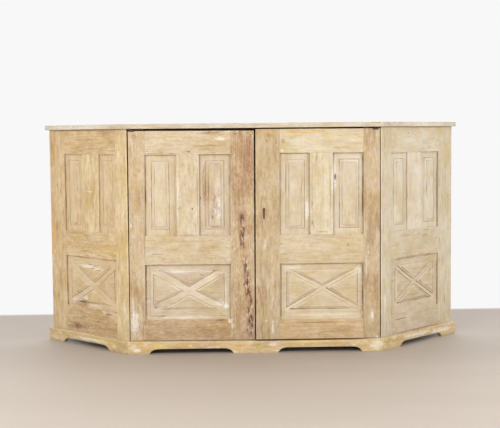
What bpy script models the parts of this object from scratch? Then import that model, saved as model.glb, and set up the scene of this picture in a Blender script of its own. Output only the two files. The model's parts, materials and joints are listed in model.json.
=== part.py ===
"""Canted two-door buffet cabinet: framed and panelled pine on an arched plinth, doors on iron pivots."""
from dataclasses import dataclass
from math import atan2, cos, hypot, pi, radians, sin, tan

import bmesh
import bpy
from mathutils import Matrix, Vector

# Overall sizes, in metres; front faces -Y, the origin is under the middle of the box
HEIGHT = 0.950
FRONT_HALF = 0.520
CARCASS_DEPTH = 0.368
CANT = radians(45.0)
CORNER_FLAT = 0.004
OVERHANG = 0.013
TOP_THICK = 0.020
SEAT = 0.0003

# Plinth and its arches, measured along each board
PLINTH_HEIGHT = 0.054
PLINTH_THICK = 0.018
PLINTH_CHAMFER = 0.004
ARCH_RISE = 0.025
ARCH_SHOULDER = 0.040
CENTRE_FOOT_HALF = 0.092
FRONT_FOOT = 0.083
SIDE_FRONT_FOOT = 0.116
SIDE_BACK_FOOT = 0.092

# Frames: the panels share the height and width that the members leave
FRAME_THICK = 0.028
NARROW_STILE = 0.070
MEETING_STILE = 0.097
BACK_STILE = 0.105
MUNTIN = 0.096
BOTTOM_RAIL = 0.096
LOCK_RAIL = 0.124
TOP_RAIL = 0.106
CROSS_SHARE = 0.4

# Joinery: grooves and mortises share one plane in the thickness
GROOVE_FRONT = 0.010
GROOVE_WIDTH = 0.009
GROOVE_DEPTH = 0.008
PANEL_LAP = 0.007
TENON = 0.030
TENON_SHOULDER = 0.014

# Panel mouldings
FIELD_RISE = 0.0055
FIELD_BEVEL = 0.009
FIELD_MARGIN = 0.027
CROSS_SIDE_MARGIN = 0.029
CROSS_TOP_MARGIN = 0.023
CROSS_BOTTOM_MARGIN = 0.037
CROSS_BAND = 0.012

# Doors and their pivots
CENTRE_GAP = 0.005
SWING_CLEAR = 0.0008
DOOR_GAPS = 0.010
LEFT_BOTTOM_GAP = 0.0030
RIGHT_BOTTOM_GAP = 0.0045
PIVOT_IN = 0.020
PIVOT_BACK = 0.013
PIN_RADIUS = 0.0035
PIN_REACH = 0.008
PIN_CLEAR = 0.0004
COLLAR_RADIUS = 0.0065
PLATE_LENGTH = 0.034
PLATE_WIDTH = 0.014
PLATE_THICK = 0.0022

# Inside boards
FLOOR_THICK = 0.020
SHELF_BELOW_RAIL_TOP = 0.020
SHELF_THICK = 0.020
SHELF_SETBACK = 0.055
CLEAT_HEIGHT = 0.025
CLEAT_WIDTH = 0.018
CLEAT_FRONT = 0.080
CLEAT_BACK = 0.075
BACK_THICK = 0.014
BACK_SPLIT = 0.5
TOP_SPLIT = 0.52
BATTEN_END = 0.065
BATTEN_HEIGHT = 0.050
BATTEN_THICK = 0.022
DOOR_REST = 0.0005

# Lock on the right door
KEY_IN = 0.037
KEY_ABOVE_RAIL = 0.096
KEY_EYE = 0.0048
KEY_SLOT = 0.0064
KEY_DROP = 0.026
CASE_EDGE = 0.003
CASE_WIDTH = 0.074
CASE_BELOW = 0.044
CASE_HEIGHT = 0.096
CASE_DEPTH = 0.016
CASE_WALL = 0.003
LOCK_BOLT_HEIGHT = 0.014
LOCK_BOLT_RAISE = 0.028
LOCK_BOLT_LENGTH = 0.056
SLIDE_CLEAR = 0.0004

# Rod bolt on the left door
ROD_RADIUS = 0.004
ROD_LENGTH = 0.130
ROD_DROP = 0.002
ROD_STAND_OFF = 0.0095
ROD_NOTCH_CLEAR = 0.001
GUIDE_PLATE_LENGTH = 0.094
GUIDE_PLATE_WIDTH = 0.030
GUIDE_PLATE_THICK = 0.003
GUIDE_TOP = 0.018
GUIDE_HEIGHT = 0.012
GUIDE_WALL = 0.003
ROD_KNOB_RADIUS = 0.0075

# Places that follow from the sizes
FRONT_Y = OVERHANG - (CARCASS_DEPTH + OVERHANG) / 2
BACK_Y = FRONT_Y + CARCASS_DEPTH
UNDERSIDE = HEIGHT - TOP_THICK
PANEL_SPACE = UNDERSIDE - PLINTH_HEIGHT - BOTTOM_RAIL - LOCK_RAIL - TOP_RAIL
CROSS_BOTTOM = PLINTH_HEIGHT + BOTTOM_RAIL
CROSS_TOP = CROSS_BOTTOM + CROSS_SHARE * PANEL_SPACE
UPPER_BOTTOM = CROSS_TOP + LOCK_RAIL
UPPER_TOP = UNDERSIDE - TOP_RAIL
SHELF_TOP = UPPER_BOTTOM - SHELF_BELOW_RAIL_TOP
KEY_HEIGHT = UPPER_BOTTOM + KEY_ABOVE_RAIL
OUTER_GAP = hypot(PIVOT_IN, PIVOT_BACK) - PIVOT_IN + SWING_CLEAR
DOOR_WIDTH = FRONT_HALF - OUTER_GAP - CENTRE_GAP / 2
SIDE_WIDTH = CARCASS_DEPTH / sin(CANT)
PIVOT_X = FRONT_HALF - OUTER_GAP - PIVOT_IN
ARC_STEPS = 10
ROUND_STEPS = 24
EYE_STEPS = 16
THROUGH = 0.010

COLOURS = {
    "frame_pine": (0.66, 0.49, 0.29, 1.0),
    "panel_pine": (0.68, 0.53, 0.34, 1.0),
    "board_pine": (0.62, 0.44, 0.23, 1.0),
    "inside_pine": (0.50, 0.35, 0.19, 1.0),
    "iron": (0.07, 0.06, 0.055, 1.0),
}
MATERIALS = {}


def clear_scene():
    for item in list(bpy.data.objects):
        bpy.data.objects.remove(item, do_unlink=True)


def new_collection(name, hidden=False):
    group = bpy.data.collections.new(name)
    bpy.context.scene.collection.children.link(group)
    group.hide_render = hidden
    return group


clear_scene()
PARTS = new_collection("buffet_cabinet")
CUTTERS = new_collection("cutters", hidden=True)


def material(slot):
    if slot not in MATERIALS:
        made = bpy.data.materials.new(slot)
        made.use_nodes = True
        shader = made.node_tree.nodes["Principled BSDF"]
        shader.inputs["Base Color"].default_value = COLOURS[slot]
        shader.inputs["Roughness"].default_value = 0.7
        shader.inputs["Metallic"].default_value = 1.0 if slot == "iron" else 0.0
        MATERIALS[slot] = made
    return MATERIALS[slot]


def box_into(bm, low, high):
    """Add one box to bm between two corners, given in any order."""
    middle = (Vector(low) + Vector(high)) / 2
    size = [abs(high[i] - low[i]) for i in range(3)]
    bmesh.ops.create_cube(bm, size=1.0, matrix=Matrix.Translation(middle) @ Matrix.Diagonal((*size, 1.0)))


def boxes(*corner_pairs):
    bm = bmesh.new()
    for low, high in corner_pairs:
        box_into(bm, low, high)
    return finished(bm)


def rods(radius, *ends):
    """Closed upright cylinders, one for each ((x, y, z0), z1)."""
    bm = bmesh.new()
    for (x, y, z0), z1 in ends:
        place = Matrix.Translation((x, y, (z0 + z1) / 2))
        bmesh.ops.create_cone(bm, cap_ends=True, segments=ROUND_STEPS, radius1=radius, radius2=radius,
                              depth=abs(z1 - z0), matrix=place)
    return finished(bm)


def prism_into(bm, outline, z0, z1):
    """Add one upright prism over a flat outline."""
    face = bm.faces.new([bm.verts.new((x, y, z0)) for x, y in outline])
    grown = bmesh.ops.extrude_face_region(bm, geom=[face])
    verts = [item for item in grown["geom"] if isinstance(item, bmesh.types.BMVert)]
    bmesh.ops.translate(bm, vec=(0.0, 0.0, z1 - z0), verts=verts)
    return next(item for item in grown["geom"] if isinstance(item, bmesh.types.BMFace))


def prism(outline, z0, z1):
    bm = bmesh.new()
    prism_into(bm, outline, z0, z1)
    return finished(bm)


def upright_prism(outlines, y0, y1):
    """Prisms over outlines drawn in X and Z, running from y0 to y1."""
    bm = bmesh.new()
    for outline in outlines:
        prism_into(bm, outline, -y0, -y1)
    bmesh.ops.rotate(bm, cent=(0, 0, 0), matrix=Matrix.Rotation(pi / 2, 3, "X"), verts=bm.verts)
    return finished(bm)


def raised_fields(outlines, y_root, y_base):
    """Bevelled fields over outlines in X and Z, standing towards -Y from y_base and rooted at y_root."""
    bm = bmesh.new()
    for outline in outlines:
        front = prism_into(bm, outline, -y_root, -y_base)
        bm.normal_update()
        rise = FIELD_RISE if front.normal.z > 0 else -FIELD_RISE
        bmesh.ops.inset_region(bm, faces=[front], thickness=FIELD_BEVEL, depth=rise, use_even_offset=True)
    bmesh.ops.rotate(bm, cent=(0, 0, 0), matrix=Matrix.Rotation(pi / 2, 3, "X"), verts=bm.verts)
    return finished(bm)


def finished(bm):
    bmesh.ops.recalc_face_normals(bm, faces=bm.faces)
    mesh = bpy.data.meshes.new("solid")
    bm.to_mesh(mesh)
    bm.free()
    return mesh


@dataclass
class Place:
    """A local frame: hand mirrors X, the holder empty carries it, shift moves its origin."""
    hand: int
    holder: object
    shift: tuple

    def at(self, x, y, z):
        return (self.hand * (x - self.shift[0]), y - self.shift[1], z)

    def box(self, x, y, z):
        return self.at(x[0], y[0], z[0]), self.at(x[1], y[1], z[1])

    def plan(self, outline):
        return [self.at(x, y, 0)[:2] for x, y in outline]

    def elevation(self, outline):
        return [(self.hand * (x - self.shift[0]), z) for x, z in outline]


def empty(name, location, turn=0.0):
    holder = bpy.data.objects.new(name, None)
    holder.location = location
    holder.rotation_euler = (0.0, 0.0, turn)
    PARTS.objects.link(holder)
    return holder


def part(name, mesh, slot, holder=None):
    piece = bpy.data.objects.new(name, mesh)
    mesh.name = name
    mesh.materials.append(material(slot))
    piece.parent = holder
    PARTS.objects.link(piece)
    return piece


def boolean(piece, mesh, operation, label):
    tool = bpy.data.objects.new(f"{piece.name}_{label}", mesh)
    tool.parent = piece.parent
    tool.hide_render = True
    tool.display_type = "WIRE"
    CUTTERS.objects.link(tool)
    step = piece.modifiers.new(label, "BOOLEAN")
    step.operation = operation
    step.solver = "EXACT"
    step.object = tool


def cut(piece, mesh, label):
    boolean(piece, mesh, "DIFFERENCE", label)


def join(piece, mesh, label):
    boolean(piece, mesh, "UNION", label)


def side_x(y, offset):
    """Half width at depth y of the canted outline moved outwards by offset."""
    return FRONT_HALF + CORNER_FLAT + (y - FRONT_Y) / tan(CANT) + offset / sin(CANT)


def plan(offset, y0, y1):
    near, far = side_x(y0, offset), side_x(y1, offset)
    return [(-near, y0), (near, y0), (far, y1), (-far, y1)]


# Framed panels, in local X from the narrow stile, Y from the face inwards, Z from the floor
TONGUE = (GROOVE_FRONT, GROOVE_FRONT + GROOVE_WIDTH)
INNER_TONGUE = (TONGUE[0] + SEAT, TONGUE[1] - SEAT)


@dataclass
class Frame:
    """One framed panel set; stile outlines are plans in local X and Y."""
    name: str
    place: Place
    z0: float
    z1: float
    inner: float
    stile_names: tuple
    stile_plans: tuple
    panel_names: tuple
    middle_rail: str

    def opening(self):
        return (self.inner - NARROW_STILE - MUNTIN) / 2

    def part(self, label, mesh, slot="frame_pine"):
        return part(f"{self.name}_{label}", mesh, slot, self.place.holder)

    def rails(self):
        return {"bottom_rail": (self.z0, CROSS_BOTTOM), self.middle_rail: (CROSS_TOP, UPPER_BOTTOM),
                "top_rail": (UPPER_TOP, self.z1)}

    def stile(self, index, edge, inwards):
        """One stile with panel grooves and rail mortises in its inner edge; inwards is +1 or -1 in X."""
        body = prism(self.place.plan(self.stile_plans[index]), self.z0, self.z1)
        piece = self.part(self.stile_names[index], body)
        groove = (edge - inwards * GROOVE_DEPTH, edge + inwards * THROUGH)
        pocket = (edge - inwards * (TENON + SEAT), edge + inwards * THROUGH)
        tools = []
        for low, high in ((CROSS_BOTTOM, CROSS_TOP), (UPPER_BOTTOM, UPPER_TOP)):
            tools.append(self.place.box(groove, TONGUE, (low - GROOVE_DEPTH, high + GROOVE_DEPTH)))
        for low, high in self.rails().values():
            height = (low + TENON_SHOULDER - SEAT, high - TENON_SHOULDER + SEAT)
            tools.append(self.place.box(pocket, TONGUE, height))
        cut(piece, boxes(*tools), "joints")
        return piece

    def rail(self, label, grooves_up, grooves_down):
        low, high = self.rails()[label]
        x0, x1 = NARROW_STILE + SEAT, self.inner - SEAT
        span = (x0 - THROUGH, x1 + THROUGH)
        piece = self.part(label, boxes(self.place.box((x0, x1), (0, FRAME_THICK), (low, high))))
        height = (low + TENON_SHOULDER, high - TENON_SHOULDER)
        join(piece, boxes(self.place.box((x0 - TENON, x1 + TENON), INNER_TONGUE, height)), "tenons")
        tools = []
        if grooves_up:
            tools.append(self.place.box(span, TONGUE, (high - GROOVE_DEPTH, high + THROUGH)))
        if grooves_down:
            tools.append(self.place.box(span, TONGUE, (low - THROUGH, low + GROOVE_DEPTH)))
        cut(piece, boxes(*tools), "grooves")
        return piece

    def muntin_span(self):
        start = NARROW_STILE + self.opening()
        return start, start + MUNTIN

    def muntin_mortise(self, piece, z0, z1):
        left, right = self.muntin_span()
        span = (left + TENON_SHOULDER - SEAT, right - TENON_SHOULDER + SEAT)
        cut(piece, boxes(self.place.box(span, TONGUE, (z0, z1))), "muntin_mortise")

    def muntin(self):
        left, right = self.muntin_span()
        z0, z1 = UPPER_BOTTOM + SEAT, UPPER_TOP - SEAT
        piece = self.part("muntin", boxes(self.place.box((left, right), (0, FRAME_THICK), (z0, z1))))
        span = (left + TENON_SHOULDER, right - TENON_SHOULDER)
        join(piece, boxes(self.place.box(span, INNER_TONGUE, (z0 - TENON, z1 + TENON))), "tenons")
        tall = (z0 - THROUGH, z1 + THROUGH)
        tools = [self.place.box((left - THROUGH, left + GROOVE_DEPTH), TONGUE, tall),
                 self.place.box((right - GROOVE_DEPTH, right + THROUGH), TONGUE, tall)]
        cut(piece, boxes(*tools), "grooves")

    def panel(self, label, x0, x1, z0, z1, fields):
        width, height = (x0 - PANEL_LAP, x1 + PANEL_LAP), (z0 - PANEL_LAP, z1 + PANEL_LAP)
        board = self.place.box(width, INNER_TONGUE, height)
        piece = self.part(label, boxes(board), "panel_pine")
        shift = self.place.shift[1]
        root, base = INNER_TONGUE[0] + 0.003 - shift, INNER_TONGUE[0] - shift
        join(piece, raised_fields([self.place.elevation(field) for field in fields], root, base), "fields")

    def upper_panel(self, label, x0):
        x1, margin = x0 + self.opening(), FIELD_MARGIN
        field = [(x0 + margin, UPPER_BOTTOM + margin), (x1 - margin, UPPER_BOTTOM + margin),
                 (x1 - margin, UPPER_TOP - margin), (x0 + margin, UPPER_TOP - margin)]
        self.panel(label, x0, x1, UPPER_BOTTOM, UPPER_TOP, [field])

    def cross_panel(self):
        left, right = NARROW_STILE + CROSS_SIDE_MARGIN, self.inner - CROSS_SIDE_MARGIN
        low, high = CROSS_BOTTOM + CROSS_BOTTOM_MARGIN, CROSS_TOP - CROSS_TOP_MARGIN
        fields = cross_fields(left, right, low, high)
        self.panel("cross_panel", NARROW_STILE, self.inner, CROSS_BOTTOM, CROSS_TOP, fields)

    def build(self):
        """All nine pieces; returns both stiles and the rails that later cuts need."""
        outer = self.stile(0, NARROW_STILE, 1)
        inner = self.stile(1, self.inner, -1)
        self.rail("bottom_rail", True, False)
        middle = self.rail(self.middle_rail, True, True)
        top = self.rail("top_rail", False, True)
        self.muntin_mortise(middle, UPPER_BOTTOM - TENON - SEAT, UPPER_BOTTOM + THROUGH)
        self.muntin_mortise(top, UPPER_TOP - THROUGH, UPPER_TOP + TENON + SEAT)
        self.muntin()
        self.upper_panel(self.panel_names[0], NARROW_STILE)
        self.upper_panel(self.panel_names[1], self.muntin_span()[1])
        self.cross_panel()
        return outer, inner


def cross_fields(left, right, low, high):
    """Four triangles left between the arms of a cross, in X and Z."""
    half_w, half_h = (right - left) / 2, (high - low) / 2
    cx, cz = (left + right) / 2, (low + high) / 2
    slope = atan2(half_h, half_w)
    along, up = CROSS_BAND / 2 / sin(slope), CROSS_BAND / 2 / cos(slope)
    flat = [(half_w - along, half_h), (-half_w + along, half_h), (0.0, up)]
    tall = [(half_w, half_h - up), (along, 0.0), (half_w, -half_h + up)]
    triangles = [flat, [(x, -z) for x, z in flat], tall, [(-x, z) for x, z in tall]]
    return [[(cx + x, cz + z) for x, z in triangle] for triangle in triangles]


def rectangle(x0, x1, y0, y1):
    return [(x0, y0), (x1, y0), (x1, y1), (x0, y1)]


def door_frame(side, hand, bottom_gap):
    """A door whose holder empty stands on its pivot axis."""
    holder = empty(f"{side}_door_axis", (-hand * PIVOT_X, FRONT_Y + PIVOT_BACK, 0.0))
    place = Place(hand, holder, (PIVOT_IN, PIVOT_BACK))
    z0, z1 = PLINTH_HEIGHT + bottom_gap, UNDERSIDE - DOOR_GAPS + bottom_gap
    inner = DOOR_WIDTH - MEETING_STILE
    plans = (rectangle(0, NARROW_STILE, 0, FRAME_THICK), rectangle(inner, DOOR_WIDTH, 0, FRAME_THICK))
    return Frame(f"{side}_door", place, z0, z1, inner, ("hinge_stile", "meeting_stile"), plans,
                 ("outer_panel", "inner_panel"), "lock_rail")


def side_frame(side, hand):
    """A canted side; its stiles are cut square to the door and to the back."""
    turn = CANT if hand > 0 else -CANT
    holder = empty(f"{side}_side_corner", (hand * (FRONT_HALF + CORNER_FLAT), FRONT_Y, 0.0), turn)
    flat_x, flat_y = -CORNER_FLAT * cos(CANT), CORNER_FLAT * sin(CANT)
    front_in = flat_x + (FRAME_THICK - flat_y) * tan(CANT)
    front = [(0, 0), (NARROW_STILE, 0), (NARROW_STILE, FRAME_THICK), (front_in, FRAME_THICK)]
    front.append((flat_x, flat_y))
    inner, back_in = SIDE_WIDTH - BACK_STILE, SIDE_WIDTH - FRAME_THICK / tan(CANT)
    back = [(inner, 0), (SIDE_WIDTH, 0), (back_in, FRAME_THICK), (inner, FRAME_THICK)]
    z0, z1 = PLINTH_HEIGHT + SEAT, UNDERSIDE - SEAT
    place = Place(hand, holder, (0.0, 0.0))
    return Frame(f"{side}_side", place, z0, z1, inner, ("front_stile", "back_stile"), (front, back),
                 ("front_panel", "back_panel"), "middle_rail")


# Pivots
PLATE_X = (PIVOT_IN - PLATE_LENGTH * 0.35, PIVOT_IN + PLATE_LENGTH * 0.65)
PLATE_Y = (PIVOT_BACK - PLATE_WIDTH / 2, PIVOT_BACK + PLATE_WIDTH / 2)
HOLE_RADIUS = PIN_RADIUS + PIN_CLEAR


def top_pivot(side, frame):
    """Plate and pin on the door's top edge, and the socket plate under the top."""
    place, foot = frame.place, frame.z1 + SEAT
    plate = boxes(place.box(PLATE_X, PLATE_Y, (foot, foot + PLATE_THICK)))
    piece = part(f"{side}_top_pivot", plate, "iron", place.holder)
    join(piece, rods(PIN_RADIUS, ((0, 0, foot + PLATE_THICK / 2), UNDERSIDE + PIN_REACH)), "pin")
    low, high = UNDERSIDE - SEAT - PLATE_THICK, UNDERSIDE - SEAT
    washer = boxes(place.box(PLATE_X, PLATE_Y, (low, high)))
    socket = part(f"{side}_top_socket", washer, "iron", place.holder)
    cut(socket, rods(HOLE_RADIUS, ((0, 0, low - THROUGH), high + THROUGH)), "hole")


def bottom_pivot(side, frame, stile):
    """Plate, collar and pin let into the door's foot, and the socket plate let into the floor board."""
    place, foot, deck = frame.place, frame.z0, PLINTH_HEIGHT
    low, high = foot, foot + PLATE_THICK
    pocket = place.box(grown(PLATE_X), grown(PLATE_Y), (low - THROUGH, high + SEAT))
    cut(stile, boxes(pocket), "pivot_recess")
    plate = boxes(place.box(PLATE_X, PLATE_Y, (low, high)))
    piece = part(f"{side}_bottom_pivot", plate, "iron", place.holder)
    middle = (low + high) / 2
    join(piece, rods(COLLAR_RADIUS, ((0, 0, deck + SEAT), middle)), "collar")
    join(piece, rods(PIN_RADIUS, ((0, 0, deck - PLATE_THICK - PIN_REACH), deck + 2 * SEAT)), "pin")
    washer = boxes(place.box(PLATE_X, PLATE_Y, (deck - PLATE_THICK, deck)))
    socket = part(f"{side}_bottom_socket", washer, "iron", place.holder)
    cut(socket, rods(HOLE_RADIUS, ((0, 0, deck - PLATE_THICK - THROUGH), deck + THROUGH)), "hole")


def grown(span):
    return span[0] - SEAT, span[1] + SEAT


def pivot_places():
    return [(hand * PIVOT_X, FRONT_Y + PIVOT_BACK) for hand in (-1, 1)]


# Top, plinth and inside boards
def top_planks():
    seam = FRONT_Y - OVERHANG + TOP_SPLIT * (CARCASS_DEPTH + OVERHANG)
    near, far = plan(OVERHANG, FRONT_Y - OVERHANG, seam), plan(OVERHANG, seam + SEAT, BACK_Y)
    front = part("top_front_plank", prism(near, UNDERSIDE, HEIGHT), "board_pine")
    part("top_back_plank", prism(far, UNDERSIDE, HEIGHT), "board_pine")
    low, high = UNDERSIDE - THROUGH, UNDERSIDE + PIN_REACH + SEAT
    cut(front, rods(HOLE_RADIUS, *[((x, y, low), high) for x, y in pivot_places()]), "pin_holes")


def arch(x0, x1):
    """Arch outline in X and Z, open below the floor line, with round shoulders."""
    radius = (ARCH_RISE ** 2 + ARCH_SHOULDER ** 2) / (2 * ARCH_RISE)
    sweep = 2 * atan2(ARCH_RISE, ARCH_SHOULDER)
    points = []
    for step in range(ARC_STEPS + 1):
        angle = sweep * (1 - step / ARC_STEPS)
        points.append((ARCH_SHOULDER - radius * sin(angle), ARCH_RISE - radius * (1 - cos(angle))))
    left = [(x0, -THROUGH)] + [(x0 + x, z) for x, z in points]
    right = [(x1 - x, z) for x, z in reversed(points)] + [(x1, -THROUGH)]
    return left + right


def plinth_board(name, outline, arches, holder=None):
    """A plinth board over a plan outline whose first two points are its outer face."""
    bm = bmesh.new()
    prism_into(bm, outline, 0.0, PLINTH_HEIGHT)
    bm.normal_update()
    ends = [Vector((*point, PLINTH_HEIGHT)) for point in outline[:2]]
    crest = [edge for edge in bm.edges
             if all(min((vert.co - end).length for end in ends) < 1e-6 for vert in edge.verts)]
    bmesh.ops.bevel(bm, geom=crest, offset=PLINTH_CHAMFER, segments=1, affect="EDGES")
    piece = part(name, finished(bm), "board_pine", holder)
    cut(piece, arches, "arches")


def plinth():
    outer, inner = OVERHANG, OVERHANG - PLINTH_THICK
    y_out, y_in = FRONT_Y - outer, FRONT_Y - inner
    mitre = SEAT / 2 / cos(CANT / 2)
    near, far = side_x(y_out, outer) - mitre, side_x(y_in, inner) - mitre
    start, end = CENTRE_FOOT_HALF, FRONT_HALF + CORNER_FLAT - FRONT_FOOT
    openings = upright_prism([arch(-end, -start), arch(start, end)], y_out - THROUGH, y_in + THROUGH)
    plinth_board("plinth_front", [(-near, y_out), (near, y_out), (far, y_in), (-far, y_in)], openings)
    for side, hand in (("left", -1), ("right", 1)):
        side_plinth(side, hand)


def side_plinth(side, hand):
    """A canted plinth board, in the same local frame as the side above it."""
    turn = CANT if hand > 0 else -CANT
    holder = empty(f"{side}_plinth_corner", (hand * (FRONT_HALF + CORNER_FLAT), FRONT_Y, 0.0), turn)
    place = Place(hand, holder, (0.0, 0.0))
    outer, inner = -OVERHANG, PLINTH_THICK - OVERHANG
    lean = tan(CANT / 2)
    mitre = SEAT / 2 / cos(CANT / 2)
    back = [SIDE_WIDTH - y / tan(CANT) for y in (outer, inner)]
    front = [y * lean + mitre for y in (outer, inner)]
    outline = [(front[0], outer), (back[0], outer), (back[1], inner), (front[1], inner)]
    opening = place.elevation(arch(SIDE_FRONT_FOOT, SIDE_WIDTH - SIDE_BACK_FOOT))
    cutter = upright_prism([opening], outer - THROUGH, inner + THROUGH)
    plinth_board(f"plinth_{side}", place.plan(outline), cutter, holder)


def floor_board():
    inset = OVERHANG - PLINTH_THICK - SEAT
    low, high = PLINTH_HEIGHT - FLOOR_THICK, PLINTH_HEIGHT
    piece = part("floor_board", prism(plan(inset, FRONT_Y - inset, BACK_Y), low, high), "inside_pine")
    tools = []
    for x, y in pivot_places():
        hand = 1 if x > 0 else -1
        ends = [x - hand * (edge - PIVOT_IN) for edge in grown(PLATE_X)]
        depths = [y + edge - PIVOT_BACK for edge in grown(PLATE_Y)]
        tools.append(((ends[0], depths[0], high - PLATE_THICK - SEAT), (ends[1], depths[1], high + THROUGH)))
    cut(piece, boxes(*tools), "socket_recesses")
    base = high - PLATE_THICK - PIN_REACH - SEAT
    cut(piece, rods(HOLE_RADIUS, *[((x, y, base), high + THROUGH) for x, y in pivot_places()]), "pin_holes")


def shelf(sides):
    inset = -FRAME_THICK - SEAT
    outline = plan(inset, FRONT_Y + SHELF_SETBACK, BACK_Y - BACK_THICK - SEAT)
    part("shelf_board", prism(outline, SHELF_TOP - SHELF_THICK, SHELF_TOP), "inside_pine")
    top = SHELF_TOP - SHELF_THICK - SEAT
    depth = (FRAME_THICK + SEAT, FRAME_THICK + SEAT + CLEAT_WIDTH)
    for side, frame in sides.items():
        block = frame.place.box((CLEAT_FRONT, SIDE_WIDTH - CLEAT_BACK), depth, (top - CLEAT_HEIGHT, top))
        part(f"{side}_shelf_cleat", boxes(block), "inside_pine", frame.place.holder)


def back_boards():
    outline = plan(-FRAME_THICK - SEAT, BACK_Y - BACK_THICK, BACK_Y)
    low, high = PLINTH_HEIGHT + SEAT, UNDERSIDE - SEAT
    seam = low + BACK_SPLIT * (high - low)
    part("back_lower_board", prism(outline, low, seam - SEAT / 2), "inside_pine")
    part("back_upper_board", prism(outline, seam + SEAT / 2, high), "inside_pine")


def rod_centre():
    """Plan position of the rod bolt, in the middle of the left meeting stile."""
    return -(CENTRE_GAP + MEETING_STILE) / 2, FRONT_Y + FRAME_THICK + ROD_STAND_OFF


def batten_foot():
    return UNDERSIDE - SEAT - BATTEN_HEIGHT


def stop_batten():
    half, front = FRONT_HALF - BATTEN_END, FRONT_Y + FRAME_THICK + DOOR_REST
    low, high = batten_foot(), UNDERSIDE - SEAT
    block = boxes(((-half, front, low), (half, front + BATTEN_THICK, high)))
    piece = part("stop_batten", block, "inside_pine")
    x, y = rod_centre()
    half, back = ROD_RADIUS + ROD_NOTCH_CLEAR, front + BATTEN_THICK
    notch = ((x - half, y - half, low - THROUGH), (x + half, back + THROUGH, high + THROUGH))
    cut(piece, boxes(notch), "rod_notch")


# Lock and rod bolt
def keyhole():
    """Keyhole outline in X and Z about its eye: a round eye over a straight slot."""
    half = KEY_SLOT / 2
    start = -pi / 2 + atan2(half, (KEY_EYE ** 2 - half ** 2) ** 0.5)
    sweep = 2 * pi - 2 * (start + pi / 2)
    eye = [start + sweep * step / EYE_STEPS for step in range(EYE_STEPS + 1)]
    slot = [(-half, -KEY_DROP), (half, -KEY_DROP)]
    return [(KEY_EYE * cos(angle), KEY_EYE * sin(angle)) for angle in eye] + slot


def lock(frame, stile):
    """Keyhole, lock case behind the right meeting stile and the bolt that slides in it."""
    place, edge = frame.place, DOOR_WIDTH
    hole = place.elevation([(edge - KEY_IN + x, KEY_HEIGHT + z) for x, z in keyhole()])
    front, back = FRAME_THICK + SEAT, FRAME_THICK + SEAT + CASE_DEPTH
    near, far = -PIVOT_BACK, FRAME_THICK - PIVOT_BACK
    cut(stile, upright_prism([hole], near - THROUGH, far + THROUGH), "keyhole")
    ends = (edge - CASE_EDGE - CASE_WIDTH, edge - CASE_EDGE)
    low = KEY_HEIGHT - CASE_BELOW
    block = boxes(place.box(ends, (front, back), (low, low + CASE_HEIGHT)))
    case = part("lock_case", block, "iron", place.holder)
    cut(case, upright_prism([hole], far - THROUGH, back - PIVOT_BACK - CASE_WALL), "key_way")
    middle = KEY_HEIGHT + LOCK_BOLT_RAISE
    bolt_y = (front + CASE_WALL, back - CASE_WALL)
    bolt_z = (middle - LOCK_BOLT_HEIGHT / 2, middle + LOCK_BOLT_HEIGHT / 2)
    bolt_x = (ends[1] - LOCK_BOLT_LENGTH, ends[1])
    way = place.box((bolt_x[0] - SLIDE_CLEAR, ends[1] + THROUGH), eased(bolt_y), eased(bolt_z))
    cut(case, boxes(way), "bolt_way")
    part("lock_bolt", boxes(place.box(bolt_x, bolt_y, bolt_z)), "iron", place.holder)


def eased(span):
    return span[0] - SLIDE_CLEAR, span[1] + SLIDE_CLEAR


def rod_bolt(frame):
    """Guide plate with two eyes on the left meeting stile, and the rod that slides up into the notch."""
    holder, foot = frame.place.holder, batten_foot()
    x, y = [value - origin for value, origin in zip(rod_centre(), holder.location)]
    face = FRAME_THICK - PIVOT_BACK + SEAT
    high = foot - GUIDE_TOP
    low = high - GUIDE_PLATE_LENGTH
    half = GUIDE_PLATE_WIDTH / 2
    plate = boxes(((x - half, face, low), (x + half, face + GUIDE_PLATE_THICK, high)))
    piece = part("bolt_plate", plate, "iron", holder)
    reach = ROD_RADIUS + PIN_CLEAR + GUIDE_WALL
    starts = (low + GUIDE_WALL, high - GUIDE_WALL - GUIDE_HEIGHT)
    eyes = [(start, start + GUIDE_HEIGHT) for start in starts]
    root = face + GUIDE_PLATE_THICK / 2
    join(piece, boxes(*[((x - reach, root, z0), (x + reach, y + reach, z1)) for z0, z1 in eyes]), "eyes")
    cut(piece, rods(ROD_RADIUS + PIN_CLEAR, ((x, y, low - THROUGH), high + THROUGH)), "rod_way")
    top = foot - ROD_DROP
    rod = part("bolt_rod", rods(ROD_RADIUS, ((x, y, top - ROD_LENGTH), top)), "iron", holder)
    join(rod, knob(x, y + ROD_RADIUS, eyes[0][1] + ROD_KNOB_RADIUS + SEAT), "knob")


def knob(x, y, z):
    """A round finger grip standing off the rod towards the inside."""
    bm = bmesh.new()
    middle = Matrix.Translation((x, y + ROD_KNOB_RADIUS * 0.6, z))
    bmesh.ops.create_uvsphere(bm, u_segments=16, v_segments=10, radius=ROD_KNOB_RADIUS, matrix=middle)
    return finished(bm)


def main():
    doors = {"left": door_frame("left", 1, LEFT_BOTTOM_GAP),
             "right": door_frame("right", -1, RIGHT_BOTTOM_GAP)}
    sides = {"left": side_frame("left", -1), "right": side_frame("right", 1)}
    meeting = {}
    for side, frame in doors.items():
        hinge, meeting[side] = frame.build()
        top_pivot(side, frame)
        bottom_pivot(side, frame, hinge)
    for frame in sides.values():
        frame.build()
    top_planks()
    plinth()
    floor_board()
    shelf(sides)
    back_boards()
    stop_batten()
    lock(doors["right"], meeting["right"])
    rod_bolt(doors["left"])


main()
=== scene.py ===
"""Looks of a canted pine buffet cabinet: worn boards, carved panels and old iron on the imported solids."""

import json
import logging
from dataclasses import dataclass, field
from enum import Enum
from functools import cache
from math import atan, cos, hypot, pi, radians, sin, sqrt
from typing import Callable, Iterable, Sequence
from zlib import crc32

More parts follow.
